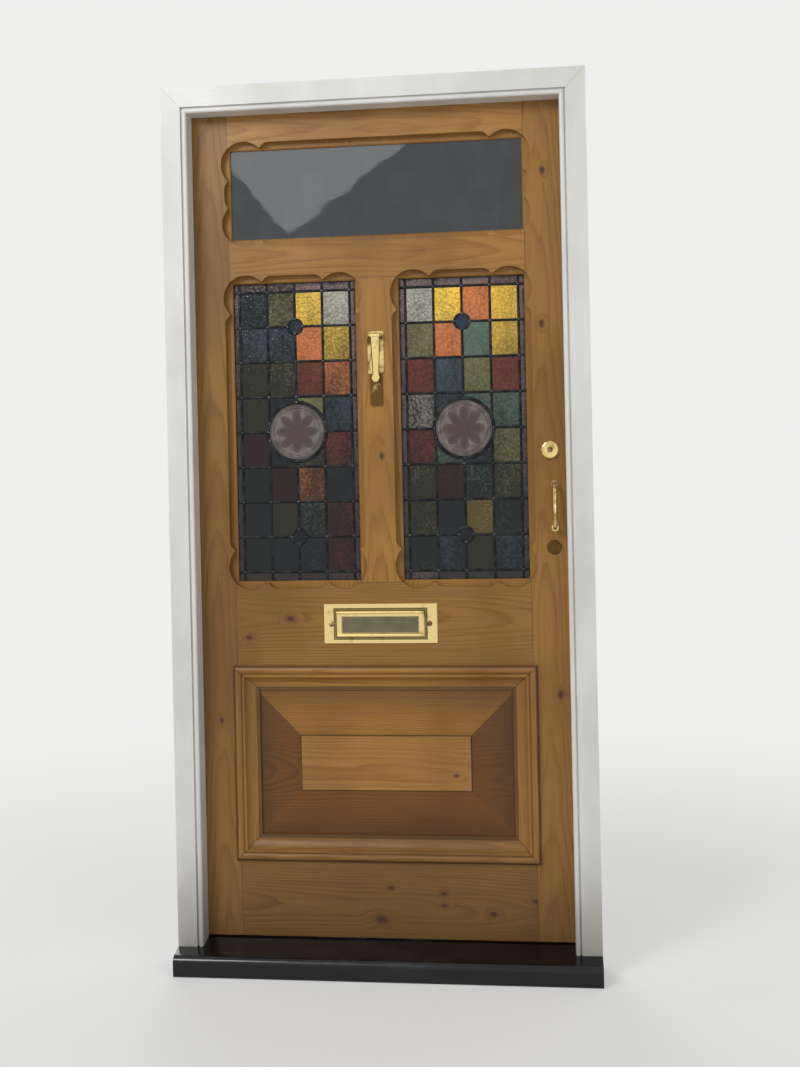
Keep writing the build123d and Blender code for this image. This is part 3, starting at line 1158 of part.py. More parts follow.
with BuildPart() as escutcheon_cover:
    with BuildSketch(facing(DEADLOCK_X, COVER_BACK, COVER_PIVOT_Z)):
        Circle(COVER_RIVET_RADIUS + COVER_EYE)
        with Locations((0, -COVER_DROP)):
            Circle(COVER_RADIUS)
        make_hull()
        Circle(COVER_RIVET_RADIUS + PIN_CLEARANCE, mode=Mode.SUBTRACT)
    extrude(amount=COVER_THICKNESS)
save(escutcheon_cover, "escutcheon_cover")

with BuildPart() as inner_escutcheon:
    round_bar((DEADLOCK_X, LEAF_THICKNESS, DEADLOCK_Z), (0, 1, 0), ESCUTCHEON_RADIUS,
              ESCUTCHEON_THICKNESS)
    chamfer(inner_escutcheon.faces().sort_by(Axis.Y)[-1].edges(), ESCUTCHEON_THICKNESS / 2)
    keyhole(LEAF_THICKNESS, ESCUTCHEON_THICKNESS)
save(inner_escutcheon, "inner_escutcheon")
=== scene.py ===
"""Looks of a stripped pine front door with leaded lights, hung in its painted frame.

Metres, in the frame's own axes: X to the right as seen from the street, Y into the house, Z up.
Sizes given in millimetres are turned to metres with MM; the finishes' pattern sizes, such as wave,
bloom, mottle and dimple, stay in millimetres until a node gets them.
"""
import json
import logging
import math
from collections.abc import Sequence
from dataclasses import dataclass, field
from enum import Enum
from typing import Any, Protocol

import bmesh
import bpy
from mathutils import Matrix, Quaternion, Vector


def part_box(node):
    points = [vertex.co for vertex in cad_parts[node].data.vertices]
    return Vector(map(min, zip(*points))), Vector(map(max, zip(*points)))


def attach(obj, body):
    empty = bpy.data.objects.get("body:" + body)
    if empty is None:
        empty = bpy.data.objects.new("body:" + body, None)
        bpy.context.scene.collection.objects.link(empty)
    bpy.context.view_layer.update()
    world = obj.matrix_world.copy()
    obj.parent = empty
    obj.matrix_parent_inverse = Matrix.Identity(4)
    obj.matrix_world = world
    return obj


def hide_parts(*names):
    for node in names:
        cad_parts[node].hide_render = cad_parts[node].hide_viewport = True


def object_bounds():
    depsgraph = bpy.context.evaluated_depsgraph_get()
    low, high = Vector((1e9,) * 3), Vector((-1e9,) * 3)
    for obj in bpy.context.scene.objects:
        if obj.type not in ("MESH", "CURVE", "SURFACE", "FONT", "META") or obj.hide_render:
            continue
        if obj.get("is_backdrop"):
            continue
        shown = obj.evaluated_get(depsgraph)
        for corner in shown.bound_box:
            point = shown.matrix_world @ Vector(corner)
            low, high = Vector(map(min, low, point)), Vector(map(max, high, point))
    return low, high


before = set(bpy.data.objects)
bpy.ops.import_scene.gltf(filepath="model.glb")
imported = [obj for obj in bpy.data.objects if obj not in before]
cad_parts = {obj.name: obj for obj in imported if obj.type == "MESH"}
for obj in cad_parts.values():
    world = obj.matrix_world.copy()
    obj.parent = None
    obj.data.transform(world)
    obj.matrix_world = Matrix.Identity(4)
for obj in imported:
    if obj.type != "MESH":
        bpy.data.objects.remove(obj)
CAD_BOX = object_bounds()
LOG = logging.getLogger("front_door")
MM = 0.001
# The leaded light on the right: its middle, its half size and the size of one quarry.
LIGHT_MIDDLE = (0.204, 1.2935)
LIGHT_HALF = (151.0 * MM, 363.5 * MM)
QUARRY = (68.0 * MM, 85.5 * MM)
# Settings that many shader nodes share: a smooth map range, and a mix of colours.
SMOOTH = {"interpolation_type": "SMOOTHSTEP"}
COLOURS = {"out": 2, "data_type": "RGBA"}
Socket = bpy.types.NodeSocket
Tree = bpy.types.NodeTree
Material = bpy.types.Material
Piece = bpy.types.Object
Edge = tuple[int, int]
Line = tuple[Vector, Vector]
Pair = tuple[float, float]
Triple = tuple[float, float, float]
Colour = tuple[float, float, float, float]
Links = dict[int | str, Any] | tuple


class Grain(Enum):
    """The way a member's fibres run, as its order of Object axes: across, depth, along."""

    UPRIGHT = ("X", "Y", "Z")
    LEVEL = ("Z", "Y", "X")


class Tarnish(Enum):
    """How far a brass surface has dulled, as the share of it that is brown."""

    BRIGHT = 0.24
    WORN = 0.56
    DULL = 0.85


class Finish(Protocol):
    """What every finish can do."""

    def material(self) -> Material:
        """Build the material."""


def linear(colour: str) -> Colour:
    """Turn an sRGB hex colour to the linear colour that a socket holds.

    Args:
        colour: "#RRGGBB".

    Returns:
        Linear red, green, blue and an alpha of one.
    """
    channels = [int(colour[start:start + 2], 16) / 255 for start in (1, 3, 5)]
    red, green, blue = (c / 12.92 if c <= 0.04045 else ((c + 0.055) / 1.055) ** 2.4 for c in channels)
    return red, green, blue, 1.0


def put(tree: Tree, kind: str, links: Links = (), out: int | str = 0,
        stops: tuple[tuple[float, str], ...] = (), **settings: Any) -> Socket | None:
    """Add a node with its settings and links.

    Args:
        tree: The tree that gets the node.
        kind: The node's type name.
        links: For each input, in order or by name or number, a value or a hex colour to set, or a
            socket or a list of sockets to link.
        out: The output that is wanted, by name or number.
        stops: Positions and hex colours of a colour ramp, from 0 to 1.
        settings: Properties of the node itself.

    Returns:
        The wanted output, or None for a node that has none.
    """
    node = tree.nodes.new(kind)
    for name, value in settings.items():
        setattr(node, name, value)
    for position, _ in stops[1:-1]:
        node.color_ramp.elements.new(position)
    for number, (_, colour) in enumerate(stops):
        node.color_ramp.elements[number].color = linear(colour)
    for key, value in links.items() if isinstance(links, dict) else enumerate(links):
        for one in value if isinstance(value, list) else [value]:
            if isinstance(one, Socket):
                tree.links.new(one, node.inputs[key])
            else:
                node.inputs[key].default_value = linear(one) if isinstance(one, str) else one
    return node.outputs[out] if len(node.outputs) else None


class Surface:
    """A material in the making: its nodes, and the steps that several finishes share."""

    def __init__(self, name: str) -> None:
        """Start a material that is named for the real one.

        Args:
            name: What the real material is called.
        """
        self.made = bpy.data.materials.new(name)
        self.made.use_nodes = True
        self.tree = self.made.node_tree
        self.tree.nodes.clear()
        self.position = self.put("TexCoord", out="Object")
        self.axes = self.put("SeparateXYZ", (self.position,)).node.outputs

    def put(self, kind: str, links: Links = (), out: int | str = 0, **settings: Any) -> Socket | None:
        """Add a shader node to this material."""
        return put(self.tree, f"ShaderNode{kind}", links, out, **settings)

    def cloud(self, sizes: Triple | float, detail: float = 2.0, place: Socket | None = None) -> Socket:
        """Noise whose spots have a real size.

        Args:
            sizes: Millimetres along each axis, or one length for all three.
            detail: How finely a spot breaks up.
            place: Coordinates to use in place of the Object coordinates.

        Returns:
            The noise, from 0 to 1.
        """
        lengths = (sizes,) * 3 if isinstance(sizes, float) else sizes
        scale = tuple(1 / (length * MM) for length in lengths)
        stretched = self.put("Mapping", {"Vector": place or self.position, "Scale": scale})
        return self.put("TexNoise", {"Vector": stretched, "Scale": 1.0, "Detail": detail})

    def stain(self, base: Socket | str, colour: Socket | str, value: Socket, span: Pair,
              strength: Pair = (0.0, 1.0)) -> Socket:
        """Lay a colour over a base, more or less strongly as a value changes.

        Args:
            base: The colour below, as a socket or hex.
            colour: The colour on top, as a socket or hex.
            value: What its strength follows.
            span: The values between which its strength changes.
            strength: The strength at both ends of the span.

        Returns:
            The mixed colour.
        """
        share = self.put("MapRange", (value, *span, *strength), **SMOOTH)
        return self.put("Mix", {0: share, 6: base, 7: colour}, **COLOURS)

    def lines(self, value: Socket, places: tuple[float, ...], width: float,
              strength: Socket | float = 1.0) -> Socket:
        """Thin lines where a coordinate passes the given places.

        Args:
            value: The coordinate.
            places: Where the lines lie.
            width: Their width in the coordinate's own unit.
            strength: How strongly they show.

        Returns:
            A mask, from 0 beside the lines to the strength on them.
        """
        mask = None
        for place in places:
            gap = self.put("Math", (value, place), operation="SUBTRACT")
            gap = self.put("Math", (gap,), operation="ABSOLUTE")
            line = self.put("MapRange", (gap, width / 2, width, 1.0, 0.0), **SMOOTH)
            mask = line if mask is None else self.put("Math", (mask, line), operation="MAXIMUM")
        return self.put("Math", (mask, strength), operation="MULTIPLY")

    def close(self, inputs: dict[str, Any], height: Socket | None = None, strength: float = 0.0,
              depth: float = 0.0) -> Material:
        """End the material with its relief, shader and output.

        Args:
            inputs: Values and sockets of the shader, by name.
            height: The relief, where there is one.
            strength: How strongly the relief shows.
            depth: Its depth in millimetres.

        Returns:
            The finished material.
        """
        if height:
            relief = self.put("Bump", {"Strength": strength, "Distance": depth * MM, "Height": height})
            inputs = {**inputs, "Normal": relief}
        self.put("OutputMaterial", {"Surface": self.put("BsdfPrincipled", inputs)})
        return self.made


@dataclass(frozen=True)
class Rect:
    """An upright rectangle on the street face, by its middle and half sizes in metres.

    A mirrored one stands on both sides of the door's middle.
    """

    middle: Pair
    half: Pair
    mirrored: bool = False

    def reaches(self, look: Surface) -> list[Socket]:
        """How far a place lies outside the two sides, and outside the top and bottom.

        Args:
            look: The material in the making.

        Returns:
            Both distances in metres, below zero inside.
        """
        across = look.axes["X"]
        if self.mirrored:
            across = look.put("Math", (across,), operation="ABSOLUTE")
        reaches = []
        for value, middle, half in zip((across, look.axes["Z"]), self.middle, self.half):
            offset = look.put("Math", (value, middle), operation="SUBTRACT")
            offset = look.put("Math", (offset,), operation="ABSOLUTE")
            reaches.append(look.put("Math", (offset, half), operation="SUBTRACT"))
        return reaches

    def outside(self, look: Surface) -> Socket:
        """Distance outside the rectangle, below zero inside it."""
        return look.put("Math", tuple(self.reaches(look)), operation="MAXIMUM")

    def mitre(self, look: Surface) -> Socket:
        """Distance from the mitre lines through the corners, above zero beside the rectangle."""
        return look.put("Math", tuple(self.reaches(look)), operation="SUBTRACT")


# Stripped pine under wax: honey early wood between brown late-wood lines, with a soft satin sheen.
@dataclass(frozen=True)
class WaxedPine:
    """Plain-sawn pine, stripped and waxed, with its own heart, knots and joint lines.

    The heart lies at a place across and in depth, in millimetres from the member's middle and face.
    Knots are (x, z, radius) in millimetres. Joint lines lie at places along the grain in metres, and
    quirks at places outside the surround's outer edge. The tone multiplies the wood's colour, with the
    shares of it that green and blue get; on the hinge stile and the panel mouldings it also paints the
    shade that falls on them. The patterns' spots are in millimetres across, in depth and along; a fibre
    is drawn far wider than a real one, so that it shows.
    """

    grain: Grain = Grain.UPRIGHT
    middle: float = 0.0
    heart: Pair = (10.0, 80.0)
    tone_and_painted_shade: float = 1.0
    blue_share: float = 0.60
    knots: tuple[Triple, ...] = ()
    joints: tuple[float, ...] = ()
    surround: Rect | None = None
    raised: Rect | None = None
    green_share: float = 0.94
    ring_spacing: float = 5.0
    lean: float = 0.022
    knot_slimness: float = 0.62
    knot_bulge: float = 6.5 * MM
    wander: Triple = (110.0, 110.0, 625.0)
    wander_depth: float = 26.0 * MM
    shiver: Triple = (14.0, 14.0, 140.0)
    shiver_depth: float = 2.2 * MM
    patch: Triple = (125.0, 125.0, 420.0)
    shade: Triple = (435.0, 435.0, 525.0)
    fibre: Triple = (1.05, 1.05, 70.0)
    streak: Triple = (6.2, 6.2, 330.0)
    quirks: tuple[float, ...] = (-2.0 * MM, -56.0 * MM)
    flat_back: float = 27.0 * MM
    weathering: Pair = (0.07, 0.30)

    def board(self, look: Surface) -> Socket:
        """Object coordinates in the board's own order: across from its middle, depth, along.

        Args:
            look: The material in the making.

        Returns:
            The coordinates.
        """
        across, depth, along = (look.axes[axis] for axis in self.grain.value)
        centred = look.put("Math", (across, self.middle), operation="SUBTRACT")
        return look.put("CombineXYZ", (centred, depth, along))

    def knot_distance(self, look: Surface, board: Socket) -> Socket | None:
        """Distance to the nearest knot, in radii of that knot.

        Args:
            look: The material in the making.
            board: Coordinates in the board's own order.

        Returns:
            The distance, or None without knots.
        """
        nearest = None
        for x, z, radius in self.knots:
            across, along = (x, z) if self.grain is Grain.UPRIGHT else (z, x)
            scale = (1 / (radius * MM), 0.0, self.knot_slimness / (radius * MM))
            shift = (-(across * MM - self.middle) * scale[0], 0.0, -along * MM * scale[2])
            around = look.put("Mapping", {"Vector": board, "Location": shift, "Scale": scale})
            gap = look.put("VectorMath", (around,), "Value", operation="LENGTH")
            nearest = gap if nearest is None else look.put("Math", (nearest, gap), operation="MINIMUM")
        return nearest

    def rings(self, look: Surface, board: Socket, knot: Socket | None) -> Socket:
        """Place within a growth ring, from 0 at its start to 1 at its dark late wood.

        Args:
            look: The material in the making.
            board: Coordinates in the board's own order.
            knot: Distance to the nearest knot, or None.

        Returns:
            The place within the ring.
        """
        heart_across, heart_depth = self.heart
        turned = look.put("Mapping", {"Vector": board, "Rotation": (self.lean, self.lean / 3, 0.0),
                                      "Location": (-heart_across * MM, -heart_depth * MM, 0.0)})
        flat = look.put("VectorMath", (turned, (1.0, 1.0, 0.0)), operation="MULTIPLY")
        radius = look.put("VectorMath", (flat,), "Value", operation="LENGTH")
        for spots, depth in ((self.wander, self.wander_depth), (self.shiver, self.shiver_depth)):
            shift = look.cloud(spots, place=board)
            radius = look.put("Math", (shift, depth, radius), operation="MULTIPLY_ADD")
        if knot:
            bulge = look.put("MapRange", (knot, 0.6, 3.4, self.knot_bulge, 0.0), **SMOOTH)
            radius = look.put("Math", (radius, bulge), operation="ADD")
        count = look.put("Math", (radius, self.ring_spacing * MM), operation="DIVIDE")
        return look.put("Math", (count,), operation="FRACT")

    def early_and_late(self, look: Surface, board: Socket, ring: Socket, fibre: Socket) -> Socket:
        """The wood's own colour: its rings, its patches, the shade it has taken and its fibres.

        Args:
            look: The material in the making.
            board: Coordinates in the board's own order.
            ring: Place within a growth ring.
            fibre: Noise of the fibres.

        Returns:
            The colour without knots and seams.
        """
        wood = look.put("ValToRGB", (ring,), stops=(
            (0.0, "#AF8247"), (0.2, "#B88B52"), (0.6, "#AE7F45"), (0.86, "#97672F"), (0.95, "#8F602C"),
            (1.0, "#AF8247")))
        wood = look.stain(wood, "#AE8049", look.cloud(self.patch, 3.0, board), (0.35, 0.65), (0.75, 0.2))
        wood = look.stain(wood, "#80562A", look.cloud(self.shade, 3.0), (0.4, 0.66), (0.0, 0.6))
        wood = look.stain(wood, "#5F3D1E", fibre, (0.35, 0.75), (0.0, 0.26))
        wood = look.stain(wood, "#6B4522", look.cloud(self.streak, place=board), (0.48, 0.8), (0.0, 0.34))
        tone_and_painted_shade = (self.tone_and_painted_shade, self.tone_and_painted_shade * self.green_share, self.tone_and_painted_shade * self.blue_share, 1.0)
        return look.put("Mix", {0: 1.0, 6: wood, 7: tone_and_painted_shade}, blend_type="MULTIPLY", **COLOURS)

    def knotted(self, look: Surface, knot: Socket, wood: Socket) -> Socket:
        """Draw the knots, dark in the eye, in a brown halo.

        Args:
            look: The material in the making.
            knot: Distance to the nearest knot, in its radii.
            wood: The colour so far.

        Returns:
            The colour with its knots.
        """
        wood = look.stain(wood, "#6A4020", knot, (0.8, 2.4), (0.5, 0.0))
        eye = look.put("ValToRGB", (knot,), stops=(
            (0.0, "#3A1F0C"), (0.55, "#4C2B12"), (0.8, "#5B371A"), (1.0, "#70481F")))
        return look.stain(wood, eye, knot, (0.8, 1.15), (1.0, 0.0))

    def jointed(self, look: Surface, board: Socket, wood: Socket) -> Socket:
        """Draw the shoulder lines of the joints, broken where the wood is tight.

        Args:
            look: The material in the making.
            board: Coordinates in the board's own order.
            wood: The colour so far.

        Returns:
            The colour with its shoulder lines.
        """
        along = look.put("SeparateXYZ", (board,), "Z")
        patches = look.cloud(self.patch, 3.0, board)
        broken = look.put("MapRange", (patches, 0.3, 0.55, 0.45, 0.9), **SMOOTH)
        dark_lines = look.lines(along, self.joints, 1.5 * MM, broken)
        return look.put("Mix", {0: dark_lines, 6: wood, 7: "#20130A"}, **COLOURS)

    def mitred(self, look: Surface, wood: Socket) -> Socket:
        """Draw the mitres of a moulding, and dark lines in the quirks at its two edges.

        Args:
            look: The material in the making.
            wood: The colour so far.

        Returns:
            The colour with its mitres and quirks.
        """
        dark_lines = look.lines(self.surround.mitre(look), (0.0,), 1.4 * MM, 0.75)
        wood = look.put("Mix", {0: dark_lines, 6: wood, 7: "#20130A"}, **COLOURS)
        # Dark lines along the quirks at the moulding's outer and inner edges.
        quirks = look.lines(self.surround.outside(look), self.quirks, 5.0 * MM, 0.7)
        return look.put("Mix", {0: quirks, 6: wood, 7: "#3B2412"}, **COLOURS)

    def painted_bevel_light_and_shade(self, look: Surface, wood: Socket) -> Socket:
        """Paint light and shade on the street side's bevels round a raised field: the top bevel lit, the
        others shaded.

        Args:
            look: The material in the making.
            wood: The colour so far.

        Returns:
            The colour with its bevels.
        """
        outside = self.raised.outside(look)
        middle_z = self.raised.middle[1]
        # Painted light: the top bevel is paler than the bottom one, as light falls from above.
        ends = look.stain("#BCA268", "#EEE6C4", look.axes["Z"], (middle_z - MM, middle_z + MM))
        # Painted shade: the side bevels are darker.
        painted_bevel_tones = look.stain(ends, "#A8966A", self.raised.mitre(look), (-MM, MM))
        painted_shade_bevel = look.put("Mix", {0: 1.0, 6: wood, 7: painted_bevel_tones}, blend_type="MULTIPLY", **COLOURS)
        # Painted shade: each bevel darkens towards the moulding, down in the recess.
        painted_shade_bevel = look.stain(painted_shade_bevel, "#3E290F", outside, (0.02, 0.115), (0.0, 0.55))
        street = look.put("MapRange", (look.axes["Y"], self.flat_back - MM, self.flat_back, 1.0, 0.0),
                          **SMOOTH)
        beyond = look.put("MapRange", (outside, -0.5 * MM, 0.8 * MM, 0.0, 1.0), **SMOOTH)
        share = look.put("Math", (beyond, street), operation="MULTIPLY")
        wood = look.put("Mix", {0: share, 6: wood, 7: painted_shade_bevel}, **COLOURS)
        # Painted shadow line round the edge of the raised field.
        edge = look.lines(outside, (0.4 * MM,), 2.0 * MM, street)
        edge = look.put("Math", (edge, 0.7), operation="MULTIPLY")
        return look.put("Mix", {0: edge, 6: wood, 7: "#2B190C"}, **COLOURS)

    def material(self) -> Material:
        """Build the pine of one member.

        Returns:
            The finished material.
        """
        look = Surface("waxed_stripped_pine")
        board = self.board(look)
        knot = self.knot_distance(look, board)
        ring = self.rings(look, board, knot)
        fibre = look.cloud(self.fibre, 3.0, board)
        wood = self.early_and_late(look, board, ring, fibre)
        if knot:
            wood = self.knotted(look, knot, wood)
        if self.joints:
            wood = self.jointed(look, board, wood)
        if self.surround:
            wood = self.mitred(look, wood)
        if self.raised:
            wood = self.painted_bevel_light_and_shade(look, wood)
        wood = look.stain(wood, "#4A301A", look.axes["Z"], self.weathering, (0.34, 0.0))
        rough = look.put("MapRange", (fibre, 0.3, 0.8, 0.36, 0.56), **SMOOTH)
        relief = look.put("Math", (ring, 0.35, fibre), operation="MULTIPLY_ADD")
        return look.close({"Base Color": wood, "Roughness": rough, "Specular IOR Level": 0.36,
                           "Coat Weight": 0.1, "Coat Roughness": 0.28}, relief, 0.35, 0.5)


# Oil gloss brushed on wood: an off-white skin with fine brush lines that catch the light.
@dataclass(frozen=True)
class BrushedPaint:
    """White paint with brush lines along the member and a little grime low down.

    The brush lines' width and length are in millimetres; they are drawn wider than a bristle's, so
    that they show.
    """

    grain: Grain = Grain.UPRIGHT
    corners: Rect = Rect((0.0, 0.0), (0.507, 2.126))
    brush_line: Pair = (1.4, 110.0)
    cloud: Triple = (165.0, 165.0, 330.0)
    grimy: Pair = (0.05, 0.34)

    def material(self) -> Material:
        """Build the paint of one member.

        Returns:
            The finished material.
        """
        look = Surface("brushed_white_gloss_paint")
        fine, long = self.brush_line
        strokes = look.cloud((fine, fine, long) if self.grain is Grain.UPRIGHT else (long, fine, fine))
        clouds = look.cloud(self.cloud, 3.0)
        paint = look.stain("#DFDEDA", "#D0CFC9", clouds, (0.35, 0.7))
        low = look.put("MapRange", (look.axes["Z"], *self.grimy, 0.75, 0.0), **SMOOTH)
        patchy = look.put("MapRange", (clouds, 0.38, 0.6, 0.2, 1.0), **SMOOTH)
        grime = look.put("Math", (low, patchy), operation="MULTIPLY")
        paint = look.put("Mix", {0: grime, 6: paint, 7: "#8E8A80"}, **COLOURS)
        paint = look.stain(paint, "#B9B8B2", strokes, (0.55, 0.8), (0.0, 0.22))
        dark_lines = look.lines(self.corners.mitre(look), (0.0,), 0.9 * MM, 0.45)
        paint = look.put("Mix", {0: dark_lines, 6: paint, 7: "#5D5A53"}, **COLOURS)
        rough = look.put("MapRange", (strokes, 0.3, 0.8, 0.30, 0.46), **SMOOTH)
        return look.close({"Base Color": paint, "Roughness": rough, "Coat Weight": 0.2,
                           "Coat Roughness": 0.2}, strokes, 0.3, 0.4)


# Black gloss paint on a trodden sill: mirror-dark where it is sound, scuffed and dusty where feet land.
@dataclass(frozen=True)
class BlackGloss:
    """Near-black gloss paint, dulled at the middle of the sill.

    Spots are in millimetres; the scratches are drawn coarser than real ones, so that they show.
    """

    tread: Pair = (0.12, 0.30)
    scuff: Triple = (110.0, 33.0, 33.0)
    scratch: Triple = (4.2, 1.1, 1.1)

    def material(self) -> Material:
        """Build the sill's paint.

        Returns:
            The finished material.
        """
        look = Surface("black_gloss_paint")
        reach = look.put("Math", (look.axes["X"],), operation="ABSOLUTE")
        clouds = look.cloud(self.scuff, 4.0)
        near = look.put("MapRange", (reach, *self.tread, 1.0, 0.0), **SMOOTH)
        patchy = look.put("MapRange", (clouds, 0.4, 0.65, 0.15, 1.0), **SMOOTH)
        trodden = look.put("Math", (near, patchy), operation="MULTIPLY")
        dust = look.put("Math", (trodden, 0.35), operation="MULTIPLY")
        black = look.put("Mix", {0: dust, 6: "#07080B", 7: "#222222"}, **COLOURS)
        black = look.stain(black, "#3C3C3C", look.cloud(self.scratch), (0.66, 0.78), (0.0, 0.3))
        rough = look.put("MapRange", (trodden, 0.0, 1.0, 0.13, 0.42), **SMOOTH)
        return look.close({"Base Color": black, "Roughness": rough, "Specular IOR Level": 0.35,
                           "Coat Weight": 0.15, "Coat Roughness": 0.08}, clouds, 0.15, 0.4)


# Rolled cathedral glass: colour all through, with a rippled face that breaks up what is behind it.
# Painted light and shade: paler in the upper rows, darker lower down and at the far left of the left light.
@dataclass(frozen=True)
class RolledGlass:
    """Glass of one colour, each quarry of a slightly different batch.

    Painted light makes it paler in the upper rows, and painted shade makes it darker at the far
    left of the left light. Streaks, dimples and waves are in millimetres.
    """

    pale: str
    deep: str
    clarity: float = 0.45
    quarry: Pair = QUARRY
    lattice_z: float = LIGHT_MIDDLE[1]
    painted_light_rows: Pair = (1.06, 1.60)
    painted_shade_side: Pair = (-0.206, -0.202)
    streak: Triple = (38.0, 38.0, 110.0)
    dimple: float = 6.0
    wave: float = 17.0

    def batch(self, look: Surface) -> Socket:
        """A number from 0 to 1 that is the same all over one quarry.

        Args:
            look: The material in the making.

        Returns:
            The number.
        """
        rise = look.put("Math", (look.axes["Z"], self.lattice_z), operation="SUBTRACT")
        cell = []
        for value, step in zip((look.axes["X"], rise), self.quarry):
            count = look.put("Math", (value, step), operation="DIVIDE")
            cell.append(look.put("Math", (count,), operation="FLOOR"))
        corner = look.put("CombineXYZ", tuple(cell))
        return look.put("TexWhiteNoise", {"Vector": corner}, "Value", noise_dimensions="2D")

    def tint(self, look: Surface) -> Socket:
        """The colour of the glass: painted light by row, batch, streaks, painted shade by side, and dimples
        together.

        Args:
            look: The material in the making.

        Returns:
            The colour.
        """
        # Painted light: paler higher up, darker lower down.
        share = look.put("MapRange", (look.axes["Z"], *self.painted_light_rows, 0.06, 0.82), **SMOOTH)
        for value, strength in ((self.batch(look), 0.45), (look.cloud(self.streak, 3.0), 0.9)):
            value = look.put("Math", (value, 0.5), operation="SUBTRACT")
            share = look.put("Math", (value, strength, share), operation="MULTIPLY_ADD")
        # Painted shade: darker at the far left of the left light.
        side = look.put("MapRange", (look.axes["X"], *self.painted_shade_side, -0.5, 0.0), **SMOOTH)
        pits = look.put("MapRange", (self.dimples(look), 0.15, 0.7, 0.16, -0.22), **SMOOTH)
        for change in (side, pits):
            share = look.put("Math", (share, change), operation="ADD")
        share = look.put("Clamp", (share,))
        return look.put("Mix", {0: share, 6: self.deep, 7: self.pale}, **COLOURS)

    def dimples(self, look: Surface) -> Socket:
        """Soft hammered dimples."""
        return look.put("TexVoronoi", {"Vector": look.position, "Scale": 1 / (self.dimple * MM),
                                       "Smoothness": 0.6}, feature="SMOOTH_F1")

    def ripple(self, look: Surface) -> Socket:
        """Height of the rolled face: dimples on long waves."""
        waves = look.cloud(self.wave)
        return look.put("Math", (waves, 1.4, self.dimples(look)), operation="MULTIPLY_ADD")

    def material(self) -> Material:
        """Build the glass.

        Returns:
            The finished material.
        """
        look = Surface("rolled_cathedral_glass")
        return look.close({"Base Color": self.tint(look), "Roughness": 0.09, "IOR": 1.52,
                           "Transmission Weight": self.clarity, "Specular IOR Level": 0.22,
                           "Coat Weight": 0.1, "Coat Roughness": 0.05}, self.ripple(look), 0.7, 1.2)


# Border glass with old glazing cement: the textured glass ends in a dark, broken edge.
@dataclass(frozen=True)
class BorderGlass(RolledGlass):
    """Border glass, dark with cement where it goes under the beads.

    The crumbs of the cement are in millimetres.
    """

    sight: Rect = Rect(LIGHT_MIDDLE, LIGHT_HALF, True)
    smear: float = 9.0 * MM
    crumb: float = 18.0
    crumb_reach: float = 16.0 * MM

    def material(self) -> Material:
        """Build the glass with its cement.

        Returns:
            The finished material.
        """
        look = Surface("rolled_border_glass")
        ragged = look.put("Math", (look.cloud(self.crumb, 4.0), self.crumb_reach, self.sight.outside(look)),
                          operation="MULTIPLY_ADD")
        edge = look.put("MapRange", (ragged, -self.smear / 4, self.smear, 0.0, 1.0), **SMOOTH)
        colour = look.put("Mix", {0: edge, 6: self.tint(look), 7: "#131110"}, **COLOURS)
        clear = look.put("MapRange", (edge, 0.0, 1.0, self.clarity, 0.0), **SMOOTH)
        rough = look.put("MapRange", (edge, 0.0, 1.0, 0.12, 0.75), **SMOOTH)
        return look.close({"Base Color": colour, "Roughness": rough, "IOR": 1.52,
                           "Transmission Weight": clear}, self.ripple(look), 0.7, 1.2)


# Kiln-painted glass: smoky grey with sepia lines, and an even satin face.
@dataclass(frozen=True)
class PaintedRoundel:
    """A round glass with a plain eight-petalled rosette."""

    middle: Pair = LIGHT_MIDDLE
    radius: float = 67.0 * MM
    petals: int = 8
    mottle: float = 22.0

    def material(self) -> Material:
        """Build the roundel; its drawing is in shares of the radius.

        Returns:
            The finished material.
        """
        look = Surface("painted_roundel_glass")
        across = look.put("Math", (look.axes["X"],), operation="ABSOLUTE")
        across = look.put("Math", (across, self.middle[0]), operation="SUBTRACT")
        rise = look.put("Math", (look.axes["Z"], self.middle[1]), operation="SUBTRACT")
        flat = look.put("CombineXYZ", (across, rise))
        reach = look.put("VectorMath", (flat,), "Value", operation="LENGTH")
        share = look.put("Math", (reach, self.radius), operation="DIVIDE")
        turn = look.put("Math", (rise, across), operation="ARCTAN2")
        turn = look.put("Math", (turn, self.petals / 2), operation="MULTIPLY")
        lobes = look.put("Math", (turn,), operation="COSINE")
        lobes = look.put("Math", (lobes,), operation="ABSOLUTE")
        petal_edge = look.put("Math", (lobes, 0.34, 0.40), operation="MULTIPLY_ADD")
        inside = look.put("Math", (petal_edge, share), operation="SUBTRACT")
        within = look.put("MapRange", (inside, 0.05, 0.1, 0.0, 1.0), **SMOOTH)
        paint = look.lines(inside, (0.0,), 0.035)
        for drawn in (look.lines(share, (0.16, 0.86, 0.95), 0.028), look.lines(lobes, (1.0,), 0.03, within)):
            paint = look.put("Math", (paint, drawn), operation="MAXIMUM")
        mottle = look.cloud(self.mottle, 4.0)
        worn = look.put("MapRange", (mottle, 0.3, 0.55, 0.4, 0.9), **SMOOTH)
        glass = look.stain("#7A716E", "#4B4240", mottle, (0.35, 0.7))
        glass = look.stain(glass, "#43271A", inside, (-0.10, 0.12), (0.0, 0.9))
        paint = look.put("Math", (paint, worn), operation="MULTIPLY")
        glass = look.put("Mix", {0: paint, 6: glass, 7: "#3A2418"}, **COLOURS)
        rough = look.put("MapRange", (mottle, 0.3, 0.7, 0.18, 0.34), **SMOOTH)
        return look.close({"Base Color": glass, "Roughness": rough, "IOR": 1.52,
                           "Transmission Weight": 0.25, "Coat Weight": 0.4, "Coat Roughness": 0.06},
                          mottle, 0.2, 0.5)


